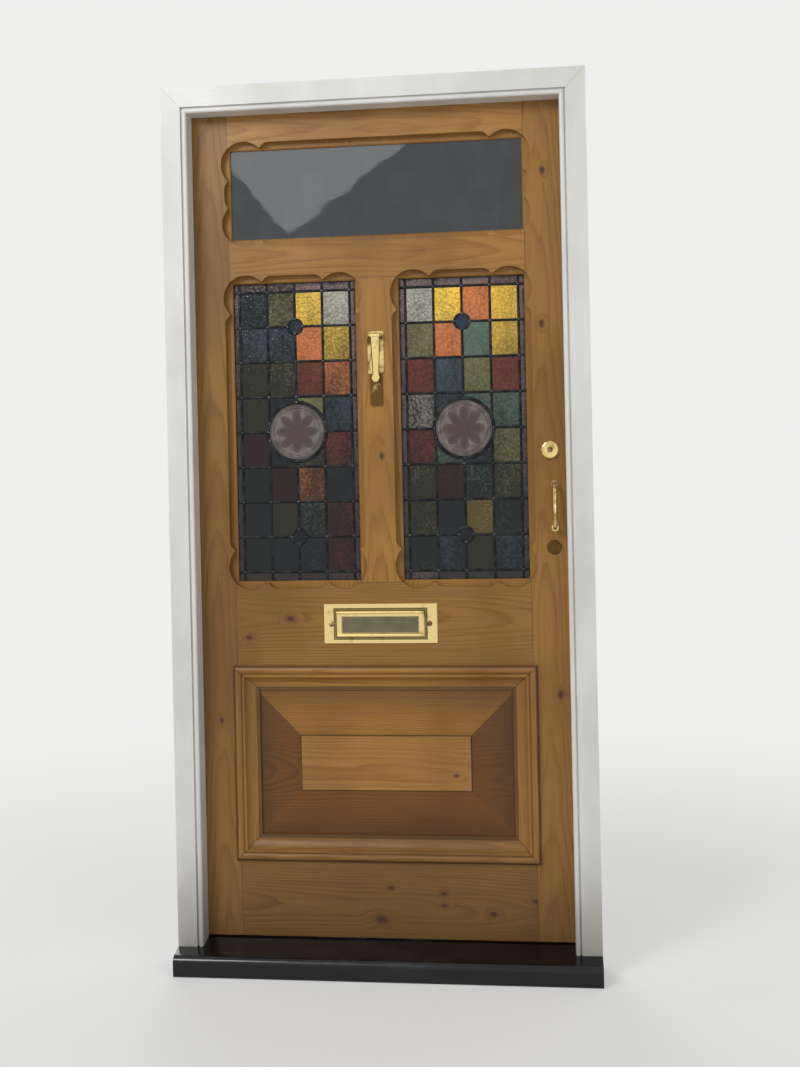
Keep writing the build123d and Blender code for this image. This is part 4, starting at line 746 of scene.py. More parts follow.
# Drawn window glass: clear, with faint waves that bend reflections; its dark tint is painted shade of the
# dim room behind.
@dataclass(frozen=True)
class DrawnGlass:
    """Clear drawn glass with long shallow waves, tinted dark as painted shade."""

    wave: Triple = (200.0, 200.0, 70.0)
    film: float = 70.0

    def material(self) -> Material:
        """Build the pane.

        Returns:
            The finished material.
        """
        look = Surface("drawn_window_glass")
        film = look.cloud(self.film, 4.0)
        # Painted shade: a near-black tint stands for the dim room behind the clear glass.
        tint = look.stain("#1A2025", "#262D31", film, (0.4, 0.7))
        rough = look.put("MapRange", (film, 0.35, 0.75, 0.01, 0.03), **SMOOTH)
        return look.close({"Base Color": tint, "Roughness": rough, "IOR": 1.52,
                           "Transmission Weight": 0.32, "Coat Weight": 0.6, "Coat Roughness": 0.02},
                          look.cloud(self.wave, 1.0), 0.25, 1.5)


# Milled lead that has gone dark: a dull grey skin, brighter only where it has been rubbed.
@dataclass(frozen=True)
class MilledLead:
    """Oxidised lead came."""

    bloom: float = 17.0

    def material(self) -> Material:
        """Build the lead.

        Returns:
            The finished material.
        """
        look = Surface("milled_lead")
        bloom = look.cloud(self.bloom, 4.0)
        lead = look.stain("#191A1B", "#2E3032", bloom, (0.4, 0.7))
        rough = look.put("MapRange", (bloom, 0.35, 0.7, 0.62, 0.4), **SMOOTH)
        return look.close({"Base Color": lead, "Metallic": 0.75, "Roughness": rough}, bloom, 0.3, 0.4)


# Tinman's solder: a tin-lead blob that has kept a little more shine than the lead.
@dataclass(frozen=True)
class Solder:
    """Solder at the crossings of the cames."""

    bloom: float = 5.5

    def material(self) -> Material:
        """Build the solder.

        Returns:
            The finished material.
        """
        look = Surface("tin_lead_solder")
        bloom = look.cloud(self.bloom, 3.0)
        solder = look.stain("#57595B", "#303234", bloom, (0.4, 0.65))
        rough = look.put("MapRange", (bloom, 0.35, 0.7, 0.28, 0.5), **SMOOTH)
        return look.close({"Base Color": solder, "Metallic": 0.95, "Roughness": rough}, bloom, 0.4, 0.4)


# Cast brass, rubbed bright by hands and cloths, with brown tarnish in patches.
@dataclass(frozen=True)
class Brass:
    """Brass of a given tarnish, with a sunk face, and painted shadow lines round its rims where the piece
    has them.

    Clouds and rubbed lines are in millimetres; the lines are drawn coarser than real ones, so that
    they show.
    """

    tarnish: Tarnish = Tarnish.BRIGHT
    sunk: Rect | None = None
    dark_lines: tuple[Rect, ...] = ()
    cloud: float = 30.0
    rub: Triple = (0.67, 0.67, 6.2)

    def material(self) -> Material:
        """Build the brass.

        Returns:
            The finished material.
        """
        look = Surface(f"{self.tarnish.name.lower()}_brass")
        clouds = look.cloud(self.cloud, 5.0)
        rub = look.cloud(self.rub)
        middle = 0.86 - self.tarnish.value * 0.6
        dull = look.put("MapRange", (clouds, middle - 0.16, middle + 0.14, 0.0, 1.0), **SMOOTH)
        brass = look.put("Mix", {0: dull, 6: "#F6DC98", 7: "#5F4524"}, **COLOURS)
        brass = look.stain(brass, "#A88543", rub, (0.45, 0.8), (0.0, 0.25))
        # Painted shade: a dark line round each raised rim, where it stands off the plate.
        for seam in self.dark_lines:
            line = look.lines(seam.outside(look), (0.0,), 2.6 * MM, 0.8)
            brass = look.put("Mix", {0: line, 6: brass, 7: "#2E2214"}, **COLOURS)
            dull = look.put("Math", (dull, line), operation="MAXIMUM")
        if self.sunk:
            inside = look.put("MapRange", (self.sunk.outside(look), -4.0 * MM, 0.5 * MM, 0.9, 0.0), **SMOOTH)
            film = look.put("Mix", {0: clouds, 6: "#34373A", 7: "#6E6C5C"}, **COLOURS)
            brass = look.put("Mix", {0: inside, 6: brass, 7: film}, **COLOURS)
            dull = look.put("Math", (dull, inside), operation="MAXIMUM")
        rough = look.put("Math", (dull, 0.24, 0.20), operation="MULTIPLY_ADD")
        return look.close({"Base Color": brass, "Metallic": 1.0, "Roughness": rough}, rub, 0.12, 0.2)


# Zinc-plated steel: a cool grey with faint spangle and a dull sheen.
@dataclass(frozen=True)
class ZincedSteel:
    """Plated steel of hinges, screws and lock case."""

    spangle: float = 3.8
    patch: float = 40.0

    def material(self) -> Material:
        """Build the steel.

        Returns:
            The finished material.
        """
        look = Surface("zinc_plated_steel")
        patches = look.cloud(self.patch, 4.0)
        steel = look.stain("#A8ABAF", "#85888C", look.cloud(self.spangle, 3.0), (0.35, 0.7))
        steel = look.stain(steel, "#6B5F50", patches, (0.55, 0.75), (0.0, 0.5))
        rough = look.put("MapRange", (patches, 0.35, 0.75, 0.3, 0.5), **SMOOTH)
        return look.close({"Base Color": steel, "Metallic": 1.0, "Roughness": rough})


# Bronze hammer lacquer on pressed steel: dark brown with small round dimples.
@dataclass(frozen=True)
class HammerLacquer:
    """Lacquer of the nightlatch's case and staple."""

    dimple: float = 2.4

    def material(self) -> Material:
        """Build the lacquer.

        Returns:
            The finished material.
        """
        look = Surface("bronze_hammer_lacquer")
        dimples = look.put("TexVoronoi", {"Vector": look.position, "Scale": 1 / (self.dimple * MM)},
                           feature="SMOOTH_F1")
        lacquer = look.stain("#4A3522", "#7A5C3A", dimples, (0.1, 0.6))
        return look.close({"Base Color": lacquer, "Metallic": 0.55, "Roughness": 0.36,
                           "Coat Weight": 0.4, "Coat Roughness": 0.12}, dimples, 0.4, 0.5)


def dress(finish: Finish, *nodes: str) -> None:
    """Give CAD nodes a finish, one material between them.

    Args:
        finish: The finish.
        nodes: Names of the nodes.
    """
    material = finish.material()
    for node in nodes:
        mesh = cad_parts[node].data
        mesh.materials.clear()
        mesh.materials.append(material)


def add_object(name: str, data: bpy.types.ID) -> Piece:
    """Make an object of a mesh, a lamp or a camera, and put it in the scene.

    Args:
        name: Name of the object.
        data: Its mesh, lamp or camera.

    Returns:
        The object.
    """
    piece = bpy.data.objects.new(name, data)
    bpy.context.scene.collection.objects.link(piece)
    return piece


def clusters(values: list[float], gap: float) -> list[float]:
    """Middles of the groups that values fall into.

    Args:
        values: Coordinates along one axis.
        gap: The least distance between two groups.

    Returns:
        The middle of each group, from low to high.
    """
    groups: list[list[float]] = []
    for value in sorted(values):
        if groups and value - groups[-1][-1] < gap:
            groups[-1].append(value)
        else:
            groups.append([value])
    return [(group[0] + group[-1]) / 2 for group in groups]


def carrier(name: str, points: list[Vector], edges: Sequence[Edge] = ()) -> Piece:
    """An object that holds only the points and lines that a pattern follows.

    Args:
        name: Name of the piece that the pattern becomes.
        points: The points, in metres.
        edges: The lines, as pairs of the points' numbers.

    Returns:
        The carrier.
    """
    mesh = bpy.data.meshes.new(name)
    mesh.from_pydata(points, edges, [])
    return add_object(name, mesh)


class Pattern:
    """A Geometry Nodes tree with named sizes, run once on a carrier."""

    def __init__(self, name: str) -> None:
        """Start an empty tree with its geometry in and out.

        Args:
            name: Name of the tree.
        """
        self.tree = bpy.data.node_groups.new(name, "GeometryNodeTree")
        for direction in ("INPUT", "OUTPUT"):
            self.tree.interface.new_socket("Geometry", in_out=direction, socket_type="NodeSocketGeometry")
        self.start = self.tree.nodes.new("NodeGroupInput")
        self.values: dict[str, float] = {}

    @property
    def geometry(self) -> Socket:
        """The carrier's geometry."""
        return self.start.outputs["Geometry"]

    def size(self, name: str, value: float) -> Socket:
        """Add a named size and remember its value by the socket's identifier.

        Args:
            name: Name of the input.
            value: The size in metres.

        Returns:
            The input's socket.
        """
        item = self.tree.interface.new_socket(name, in_out="INPUT", socket_type="NodeSocketFloat")
        self.values[item.identifier] = value
        return self.start.outputs[name]

    def put(self, kind: str, links: Links = (), out: int | str = 0, **settings: Any) -> Socket:
        """Add a node to this tree."""
        return put(self.tree, kind, links, out, **settings)

    def run(self, geometry: Socket, material: Material, holder: Piece) -> Piece:
        """Close the tree and turn its result into a plain mesh.

        Args:
            geometry: The last socket of the pattern.
            material: The material of the whole result.
            holder: The carrier, which is used up.

        Returns:
            A plain mesh object at the origin.
        """
        real = self.put("GeometryNodeRealizeInstances", (geometry,))
        painted = self.put("GeometryNodeSetMaterial", {"Geometry": real, "Material": material})
        self.put("NodeGroupOutput", (painted,))
        modifier = holder.modifiers.new(self.tree.name, "NODES")
        modifier.node_group = self.tree
        for identifier, value in self.values.items():
            modifier[identifier] = value
        evaluated = holder.evaluated_get(bpy.context.evaluated_depsgraph_get())
        mesh = bpy.data.meshes.new_from_object(evaluated)
        name = holder.name
        bpy.data.objects.remove(holder)
        return add_object(name, mesh)


def settle(piece: Piece, body: str, slot: str, *replaced: str) -> Piece:
    """Parent a finished piece to the empty of its body, and hide the CAD nodes that it stands for.

    Args:
        piece: The piece.
        body: The body that carries it.
        slot: Not used.
        replaced: The CAD nodes that it stands for.

    Returns:
        The same piece.
    """
    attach(piece, body)
    if replaced:
        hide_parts(*replaced)
    return piece


@dataclass
class PaintedFrame:
    """The white posts, head and stops, and the black sill."""

    def dress(self) -> list[str]:
        """Paint the frame; the head's brush lines run along it.

        Returns:
            A line on each finish, for the log.
        """
        dress(BrushedPaint(Grain.UPRIGHT), "hinge_post", "lock_post", "door_stops")
        dress(BrushedPaint(Grain.LEVEL), "frame_head")
        dress(BlackGloss(), "threshold")
        return ["white paint on posts, head and stops", "black gloss on the sill"]


@dataclass
class PineLeaf:
    """The stripped pine members, panel, mouldings and beads."""

    stile_middle: float = 0.408
    shoulder: float = 0.359
    muntin_ends: Pair = (0.926, 1.661)
    panel_middle: float = 0.489
    moulding_half: Pair = (0.369, 0.237)
    field_half: Pair = (206.5 * MM, 66.0 * MM)
    pin_radius: float = 1.3 * MM
    pin_inset: float = 21.0 * MM
    pin_depth: float = -3.3 * MM
    pin_pitch: float = 118.0 * MM
    pin_seed: int = 5

    def members(self) -> dict[str, WaxedPine]:
        """The finish of each member, with the knots that show on it.

        Returns:
            A finish for each node's name.
        """
        shoulders = (-self.shoulder, self.shoulder)
        surround = Rect((0.0, self.panel_middle), self.moulding_half)
        raised = Rect((0.0, self.panel_middle), self.field_half)
        level, upright = Grain.LEVEL, Grain.UPRIGHT
        return {
            # Painted shade: the hinge stile's low tone stands for the shadow of the hinge post.
            "hinge_stile": WaxedPine(upright, -self.stile_middle, (14.0, 74.0), 0.62,
                                     knots=((-401, 593, 5),)),
            "lock_stile": WaxedPine(upright, self.stile_middle, (-9.0, 88.0), 0.78,
                                    knots=((422, 656, 7), (403, 1899, 6), (394, 1536, 6))),
            "muntin": WaxedPine(upright, 0.0, (6.0, 92.0), 0.90, knots=((6, 1230, 5),),
                                joints=self.muntin_ends),
            "top_rail": WaxedPine(level, 2.031, (-12.0, 70.0), 0.90, 0.72, joints=shoulders),
            "frieze_rail": WaxedPine(level, 1.711, (8.0, 84.0), 0.86, 0.66, joints=shoulders),
            "lock_rail": WaxedPine(level, 0.821, (18.0, 78.0), 0.68, knots=((-225, 840, 7), (-328, 795, 6)),
                                   joints=shoulders),
            "bottom_rail": WaxedPine(level, 0.165, (-22.0, 72.0), 0.54, joints=shoulders,
                                     knots=((6, 190, 6), (-17, 114, 11), (135, 178, 6), (135, 150, 5),
                                            (253, 131, 7), (354, 164, 6))),
            "bottom_panel": WaxedPine(level, self.panel_middle, (-26.0, 96.0), 0.99, 0.70,
                                      knots=((170, 460, 4),), raised=raised),
            # Painted light and shade: each panel moulding is toned by its side, and the bottom one is
            # darkest.
            "panel_moulding_top": WaxedPine(level, 0.70, (30.0, 60.0), 0.88, surround=surround),
            "panel_moulding_bottom": WaxedPine(level, 0.28, (-30.0, 64.0), 0.60, surround=surround),
            "panel_moulding_left": WaxedPine(upright, -0.34, (30.0, 58.0), 0.76, surround=surround),
            "panel_moulding_right": WaxedPine(upright, 0.34, (-30.0, 62.0), 0.84, surround=surround),
            "inner_panel_mouldings": WaxedPine(level, self.panel_middle, (0.0, 140.0), 0.92),
            "outer_beads": WaxedPine(upright, 0.0, (0.0, 160.0), 0.84),
            "inner_beads": WaxedPine(upright, 0.0, (0.0, 180.0), 0.94),
        }

    def dress(self) -> list[str]:
        """Wax every member.

        Returns:
            A line on each finish, for the log.
        """
        members = self.members()
        for node, finish in members.items():
            dress(finish, node)
        return [f"waxed pine on {len(members)} nodes"]

    def pin_places(self) -> list[Vector]:
        """Find where the panel's mouldings are pinned, in the quirk beside their torus.

        Returns:
            The middles of the pins, in metres.
        """
        half_width, half_height = (half - self.pin_inset for half in self.moulding_half)
        middle = Vector((0, self.pin_depth, self.panel_middle))
        places = []
        for along, limit, fixed in ((Vector((1, 0, 0)), half_width, Vector((0, 0, half_height))),
                                    (Vector((0, 0, 1)), half_height, Vector((half_width, 0, 0)))):
            count = round(2 * limit / self.pin_pitch)
            for step in range(count):
                offset = along * ((step + 0.5) * 2 * limit / count - limit)
                places += [offset + fixed + middle, offset - fixed + middle]
        return places

    def build(self) -> list[Piece]:
        """Fill the pin holes of the mouldings.

        Returns:
            The fillings, as one piece.
        """
        pattern = Pattern("filled_pins")
        radius = pattern.size("Pin Radius", self.pin_radius)
        spot = pattern.put("GeometryNodeMeshUVSphere", {"Segments": 10, "Rings": 6, "Radius": radius})
        flat = pattern.put("GeometryNodeTransform", {"Geometry": spot, "Scale": (1.0, 0.35, 1.0)})
        size = pattern.put("FunctionNodeRandomValue", {"Min": 0.75, "Max": 1.2, "Seed": self.pin_seed}, 1,
                           data_type="FLOAT")
        spots = pattern.put("GeometryNodeInstanceOnPoints",
                            {"Points": pattern.geometry, "Instance": flat, "Scale": size})
        filler = WaxedPine(Grain.LEVEL, self.panel_middle, (0.0, 40.0), 0.42).material()
        piece = pattern.run(spots, filler, carrier("moulding_pin_fillings", self.pin_places()))
        return [settle(piece, "leaf", "waxed_pine")]


@dataclass
class LeadedLights:
    """Glass, rounded cames and solder of the two leaded lights, and the clear pane."""

    middle: Pair = LIGHT_MIDDLE
    sight: Pair = LIGHT_HALF
    quarry: Pair = QUARRY
    columns: int = 4
    rows: int = 8
    faces: Pair = (24.0 * MM, 29.0 * MM)
    came_width: float = 6.0 * MM
    came_rise: float = 1.3 * MM
    large_round: float = 71.5 * MM
    small_round: float = 18.0 * MM
    ring_steps: int = 48
    solder_radius: float = 4.0 * MM
    solder_seed: int = 11
    touch: float = 0.5 * MM
    glass: dict[str, RolledGlass] = field(default_factory=lambda: {
        # The clear quarries' painted light starts higher up.
        "quarries_clear": RolledGlass("#B4B1A3", "#1F1D23", 0.34, painted_light_rows=(1.30, 1.58)),
        "quarries_amber": RolledGlass("#E6BE48", "#5E4E20", 0.4),
        "quarries_orange": RolledGlass("#D27C46", "#4A2A1A", 0.34),
        "quarries_ruby": RolledGlass("#7B3C28", "#260F12", 0.3),
        "quarries_olive": RolledGlass("#7F7D52", "#262619", 0.3),
        "quarries_green": RolledGlass("#5F7568", "#0D1A16", 0.3),
        "quarries_blue": RolledGlass("#485861", "#10181D", 0.3),
    })

    def dress(self) -> list[str]:
        """Give every glass its colour, and the cames their lead.

        Returns:
            A line on each finish, for the log.
        """
        for node, finish in self.glass.items():
            dress(finish, node)
        dress(BorderGlass("#7C6463", "#231A1C", 0.3), "quarries_border")
        dress(PaintedRoundel(self.middle), "large_roundels")
        dress(RolledGlass("#26344A", "#090D16", 0.25), "small_roundels")
        dress(DrawnGlass(), "top_light_pane")
        dress(MilledLead(), "light_cames")
        return ["glass of ten kinds", "lead on the cames", "clear pane"]

    def shifts(self) -> list[Vector]:
        """From the middle of the door to the middle of each light, drawn flat."""
        across, rise = self.middle
        return [Vector((side * across, rise, 0)) for side in (-1, 1)]

    def crossing(self, column: int, row: int) -> Vector:
        """Where two straight cames cross, from the light's middle."""
        return Vector(((column - self.columns / 2) * self.quarry[0],
                       (row - self.rows / 2) * self.quarry[1], 0))

    def rounds(self) -> list[Pair]:
        """Height above the middle and came radius of each round glass."""
        step = (self.rows / 2 - 1) * self.quarry[1]
        return [(0.0, self.large_round), (-step, self.small_round), (step, self.small_round)]

    def rings(self) -> list[Pair]:
        """Rings as they are drawn; the wide came round a large glass is two side by side.

        Returns:
            A height above the light's middle and a radius for each ring.
        """
        spread = self.came_width / 4
        large, *small = self.rounds()
        return [(large[0], large[1] - spread), (large[0], large[1] + spread), *small]

    def runs(self) -> list[Line]:
        """Straight cames of one light, cut off where a round glass interrupts them.

        Returns:
            Both ends of each straight came, from the light's middle.
        """
        half_width, half_height = self.sight
        lines = []
        for column in range(self.columns + 1):
            x = self.crossing(column, 0).x
            lines.append((Vector((x, -half_height, 0)), Vector((x, half_height, 0))))
        for row in range(self.rows + 1):
            z = self.crossing(0, row).y
            lines.append((Vector((-half_width, z, 0)), Vector((half_width, z, 0))))
        for height, radius in self.rounds():
            lines = [part for line in lines for part in self.clipped(line, Vector((0, height, 0)), radius)]
        return lines

    def clipped(self, line: Line, middle: Vector, radius: float) -> list[Line]:
        """The parts of a straight line that lie outside a circle.

        Args:
            line: Both ends of the line.
            middle: The circle's middle.
            radius: The circle's radius.

        Returns:
            None, one or two lines.
        """
        start, end = line
        along = (end - start).normalized()
        foot = start + along * (middle - start).dot(along)
        miss = (middle - foot).length
        if miss >= radius:
            return [line]
        half = math.sqrt(radius ** 2 - miss ** 2)
        near, far = foot - along * half, foot + along * half
        parts = []
        if (near - start).dot(along) > self.came_width:
            parts.append((start, near if (near - end).dot(along) < 0 else end))
        if (end - far).dot(along) > self.came_width:
            parts.append((far if (far - start).dot(along) > 0 else start, end))
        return parts

    def lattice(self) -> tuple[list[Vector], list[Edge]]:
        """Points and lines of the cames of both lights, drawn flat.

        Returns:
            The points in metres, and the lines as pairs of their numbers.
        """
        points: list[Vector] = []
        edges: list[Edge] = []
        for shift in self.shifts():
            for start, end in self.runs():
                edges.append((len(points), len(points) + 1))
                points += [start + shift, end + shift]
            for height, radius in self.rings():
                first = len(points)
                for step in range(self.ring_steps):
                    turn = 2 * math.pi * step / self.ring_steps
                    spoke = Vector((math.cos(turn), math.sin(turn), 0)) * radius
                    points.append(shift + Vector((0, height, 0)) + spoke)
                    edges.append((first + step, first + (step + 1) % self.ring_steps))
        return points, edges

    def joints(self) -> list[Vector]:
        """Where cames meet: the crossings of the lattice and the ends on the rings.

        Returns:
            The joints of both lights, drawn flat.
        """
        places = []
        for column in range(self.columns + 1):
            for row in range(self.rows + 1):
                place = self.crossing(column, row)
                if all((place - Vector((0, height, 0))).length > radius for height, radius in self.rounds()):
                    places.append(place)
        ends = [end for run in self.runs() for end in run]
        for height, radius in self.rounds():
            middle = Vector((0, height, 0))
            places += [end for end in ends if abs((end - middle).length - radius) < self.touch]
        return [place + shift for place in places for shift in self.shifts()]

    def stand_up(self, pattern: Pattern, flat: Socket) -> Socket:
        """Stand a flat pattern up on both faces of the glass.

        Args:
            pattern: The tree in the making.
            flat: The flat pattern.

        Returns:
            Both upright patterns as one.
        """
        upright = (math.pi / 2, 0.0, 0.0)
        sides = [pattern.put("GeometryNodeTransform",
                             {"Geometry": flat, "Rotation": upright, "Translation": (0.0, depth, 0.0)})
                 for depth in self.faces]
        return pattern.put("GeometryNodeJoinGeometry", (sides,))

    def build_cames(self) -> Piece:
        """Round the faces of the cames, as drawn lead has them.

        Returns:
            The rounded faces, as one piece.
        """
        pattern = Pattern("rounded_cames")
        half_width = pattern.size("Came Half Width", self.came_width / 2)
        rise = pattern.size("Came Rise", self.came_rise)
        curve = pattern.put("GeometryNodeMeshToCurve", {"Mesh": pattern.geometry})
        curve = pattern.put("GeometryNodeSetCurveNormal", {"Curve": curve}, mode="Z_UP")
        circle = pattern.put("GeometryNodeCurvePrimitiveCircle", {"Resolution": 12, "Radius": 1.0})
        scale = pattern.put("ShaderNodeCombineXYZ", (half_width, rise, 1.0))
        oval = pattern.put("GeometryNodeTransform", {"Geometry": circle, "Scale": scale})
        bars = pattern.put("GeometryNodeCurveToMesh",
                           {"Curve": curve, "Profile Curve": oval, "Fill Caps": True})
        smooth = pattern.put("GeometryNodeSetShadeSmooth", {"Geometry": bars})
        points, edges = self.lattice()
        return pattern.run(self.stand_up(pattern, smooth), MilledLead().material(),
                           carrier("rounded_came_faces", points, edges))

    def build_solder(self) -> Piece:
        """Drop a blob of solder on every joint of the cames.

        Returns:
            The solder, as one piece.
        """
        pattern = Pattern("solder_joints")
        radius = pattern.size("Solder Radius", self.solder_radius)
        ball = pattern.put("GeometryNodeMeshUVSphere", {"Segments": 12, "Rings": 6, "Radius": radius})
        blob = pattern.put("GeometryNodeTransform", {"Geometry": ball, "Scale": (1.0, 1.0, 0.42)})
        size = pattern.put("FunctionNodeRandomValue",
                           {0: (0.72, 0.72, 0.8), 1: (1.12, 1.12, 1.1), "Seed": self.solder_seed},
                           data_type="FLOAT_VECTOR")
        blobs = pattern.put("GeometryNodeInstanceOnPoints",
                            {"Points": pattern.geometry, "Instance": blob, "Scale": size})
        real = pattern.put("GeometryNodeRealizeInstances", (blobs,))
        smooth = pattern.put("GeometryNodeSetShadeSmooth", {"Geometry": real})
        return pattern.run(self.stand_up(pattern, smooth), Solder().material(),
                           carrier("solder_joints", self.joints()))

    def build(self) -> list[Piece]:
        """Build the rounded cames and the solder."""
        return [settle(self.build_cames(), "leaf", "lead"), settle(self.build_solder(), "leaf", "lead")]


@dataclass
class Screws:
    """Slotted countersunk screws of the hinges, one row on each side of the gap."""

    head_radius: float = 4.0 * MM
    shank_radius: float = 2.0 * MM
    length: float = 25.0 * MM
    slot_width: float = 0.9 * MM
    slot_depth: float = 0.9 * MM
    row_gap: float = 6.0 * MM
    door_seed: int = 3
    frame_seed: int = 4

    def heads(self, node: str, facing: int) -> list[Vector]:
        """Middles of the screw heads of a node, on the side that they face.

        Args:
            node: The CAD node of the screws.
            facing: 1 where the heads face +X and -1 where they face -X.

        Returns:
            The middles, in metres.
        """
        low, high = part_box(node)
        heights = clusters([v.co.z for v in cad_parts[node].data.vertices], self.row_gap)
        x = high.x if facing > 0 else low.x
        return [Vector((x, (low.y + high.y) / 2, height)) for height in heights]

    def build_row(self, node: str, body: str, facing: int, seed: int) -> Piece:
        """Build the screws of one node.

        Args:
            node: The CAD node that they stand for.
            body: The body that carries them.
            facing: 1 where the heads face +X and -1 where they face -X.
            seed: Seed of the slots' angles.

        Returns:
            The screws as one piece.
        """
        pattern = Pattern(f"{node}_pattern")
        head = pattern.size("Head Radius", self.head_radius)
        shank = pattern.size("Shank Radius", self.shank_radius)
        sink = self.head_radius - self.shank_radius
        cone = pattern.put("GeometryNodeMeshCone", {"Vertices": 24, "Radius Top": head,
                                                    "Radius Bottom": shank, "Depth": sink})
        cone = pattern.put("GeometryNodeTransform", {"Geometry": cone, "Translation": (0.0, 0.0, -sink)})
        shaft = pattern.put("GeometryNodeMeshCylinder", {"Vertices": 16, "Radius": shank,
                                                         "Depth": self.length})
        shaft = pattern.put("GeometryNodeTransform",
                            {"Geometry": shaft, "Translation": (0.0, 0.0, -sink - self.length / 2)})
        bar = pattern.put("GeometryNodeMeshCube", {"Size": (3 * self.head_radius, self.slot_width,
                                                            2 * self.slot_depth)})
        slotted = pattern.put("GeometryNodeMeshBoolean", (cone, bar), operation="DIFFERENCE")
        whole = pattern.put("GeometryNodeJoinGeometry", ([slotted, shaft],))
        angle = pattern.put("FunctionNodeRandomValue", {2: 0.0, 3: math.pi, "Seed": seed}, 1,
                            data_type="FLOAT")
        turn = pattern.put("ShaderNodeCombineXYZ", {2: angle})
        turned = pattern.put("FunctionNodeRotateEuler", (turn, (0.0, facing * math.pi / 2, 0.0)))
        row = pattern.put("GeometryNodeInstanceOnPoints",
                          {"Points": pattern.geometry, "Instance": whole, "Rotation": turned})
        points = carrier(f"slotted_{node}", self.heads(node, facing))
        piece = pattern.run(row, ZincedSteel().material(), points)
        return settle(piece, body, "steel", node)

    def build(self) -> list[Piece]:
        """Build both rows."""
        return [self.build_row("door_screws", "leaf", -1, self.door_seed),
                self.build_row("frame_screws", "frame", 1, self.frame_seed)]


@dataclass
class Ironmongery:
    """Hinges, locks, letter plate, knocker and handle."""

    letter_middle: Pair = (-0.005, 0.827)
    letter_rims: tuple[Pair, ...] = ((112.0 * MM, 36.5 * MM), (108.0 * MM, 32.5 * MM))
    flap_middle: Pair = (-0.005, 0.8253)
    flap_sunk: Pair = (95.0 * MM, 21.8 * MM)
    bolt_dome: float = 2.6 * MM
    bolt_radius: float = 6.3 * MM
    bolt_head_face: float = -5.0 * MM
    dome_steps: int = 6
    dome_segments: int = 28

    def dress(self) -> list[str]:
        """Polish, tarnish or plate every piece of ironmongery.

        Returns:
            A line on each finish, for the log.
        """
        # The letter plate's raised rims get painted shadow lines.
        rims = tuple(Rect(self.letter_middle, half) for half in self.letter_rims)
        dress(Brass(Tarnish.BRIGHT, dark_lines=rims), "letter_plate")
        dress(Brass(Tarnish.BRIGHT, Rect(self.flap_middle, self.flap_sunk)), "letter_flap")
        dress(Brass(Tarnish.BRIGHT), "letter_back_plate", "knocker_hammer", "cylinder_ring",
              "cylinder_body", "latch_knob", "latch_snib")
        dress(Brass(Tarnish.WORN), "knocker_plate", "knocker_pin", "cylinder_plug", "inner_escutcheon",
              "pull_handle", "latch_bolt", "deadbolt")
        dress(Brass(Tarnish.DULL), "knocker_striker", "deadlock_escutcheon", "escutcheon_cover",
              "letter_bolts")
        dress(ZincedSteel(), "hinge_frame_leaves", "hinge_door_leaves", "hinge_pins", "frame_screws",
              "door_screws", "deadlock_case", "deadlock_keep")
        dress(HammerLacquer(), "latch_case", "latch_staple")
        return ["brass of three tarnishes", "plated steel", "hammer lacquer"]

    def turn_dome(self, shell: bmesh.types.BMesh, x: float, z: float) -> None:
        """Turn the dome of one bolt head, from its edge to its crown.

        Args:
            shell: The mesh that it is added to.
            x: The bolt's middle across.
            z: The bolt's middle in height.
        """
        turns = [2 * math.pi * step / self.dome_segments for step in range(self.dome_segments)]
        rings = []
        for step in range(self.dome_steps):
            lift = math.pi / 2 * step / self.dome_steps
            reach = self.bolt_radius * math.cos(lift)
            y = self.bolt_head_face - self.bolt_dome * math.sin(lift)
            rings.append([shell.verts.new((x + reach * math.cos(turn), y, z + reach * math.sin(turn)))
                          for turn in turns])
        crown = shell.verts.new((x, self.bolt_head_face - self.bolt_dome, z))
        for step in range(self.dome_segments):
            for outer, inner in zip(rings, rings[1:]):
                shell.faces.new((outer[step - 1], outer[step], inner[step], inner[step - 1]))
            shell.faces.new((rings[-1][step - 1], rings[-1][step], crown))
        shell.faces.new(list(reversed(rings[0])))

    def build(self) -> list[Piece]:
        """Build the domes of the letter plate's bolts.

        Returns:
            The domes, as one piece.
        """
        low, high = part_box("letter_bolts")
        radius = (high.z - low.z) / 2
        shell = bmesh.new()
        for x in (low.x + radius, high.x - radius):
            self.turn_dome(shell, x, (low.z + high.z) / 2)
        bmesh.ops.recalc_face_normals(shell, faces=shell.faces)
        for face in shell.faces:
            face.smooth = len(face.verts) < self.dome_segments
        mesh = bpy.data.meshes.new("letter_bolt_domes")
        shell.to_mesh(mesh)
        shell.free()
        mesh.materials.append(Brass(Tarnish.DULL).material())
        return [settle(add_object("letter_bolt_domes", mesh), "leaf", "tarnished_brass")]


@dataclass(frozen=True)
class Lamp:
    """A square area lamp, in metres and watts, turned by an angle about its beam."""

    name: str
    place: Triple
    size: float
    power: float
    turn: float = 0.0

    def build(self, target: Vector) -> None:
        """Hang the lamp and aim it.

        Args:
            target: Where it points, in metres.
        """
        light = bpy.data.lights.new(self.name, "AREA")
        light.size = self.size
        light.energy = self.power
        holder = add_object(self.name, light)
        holder.location = self.place
        aim = (target - Vector(self.place)).to_track_quat("-Z", "Y")
        holder.rotation_euler = (aim @ Quaternion((0.0, 0.0, 1.0), self.turn)).to_euler()


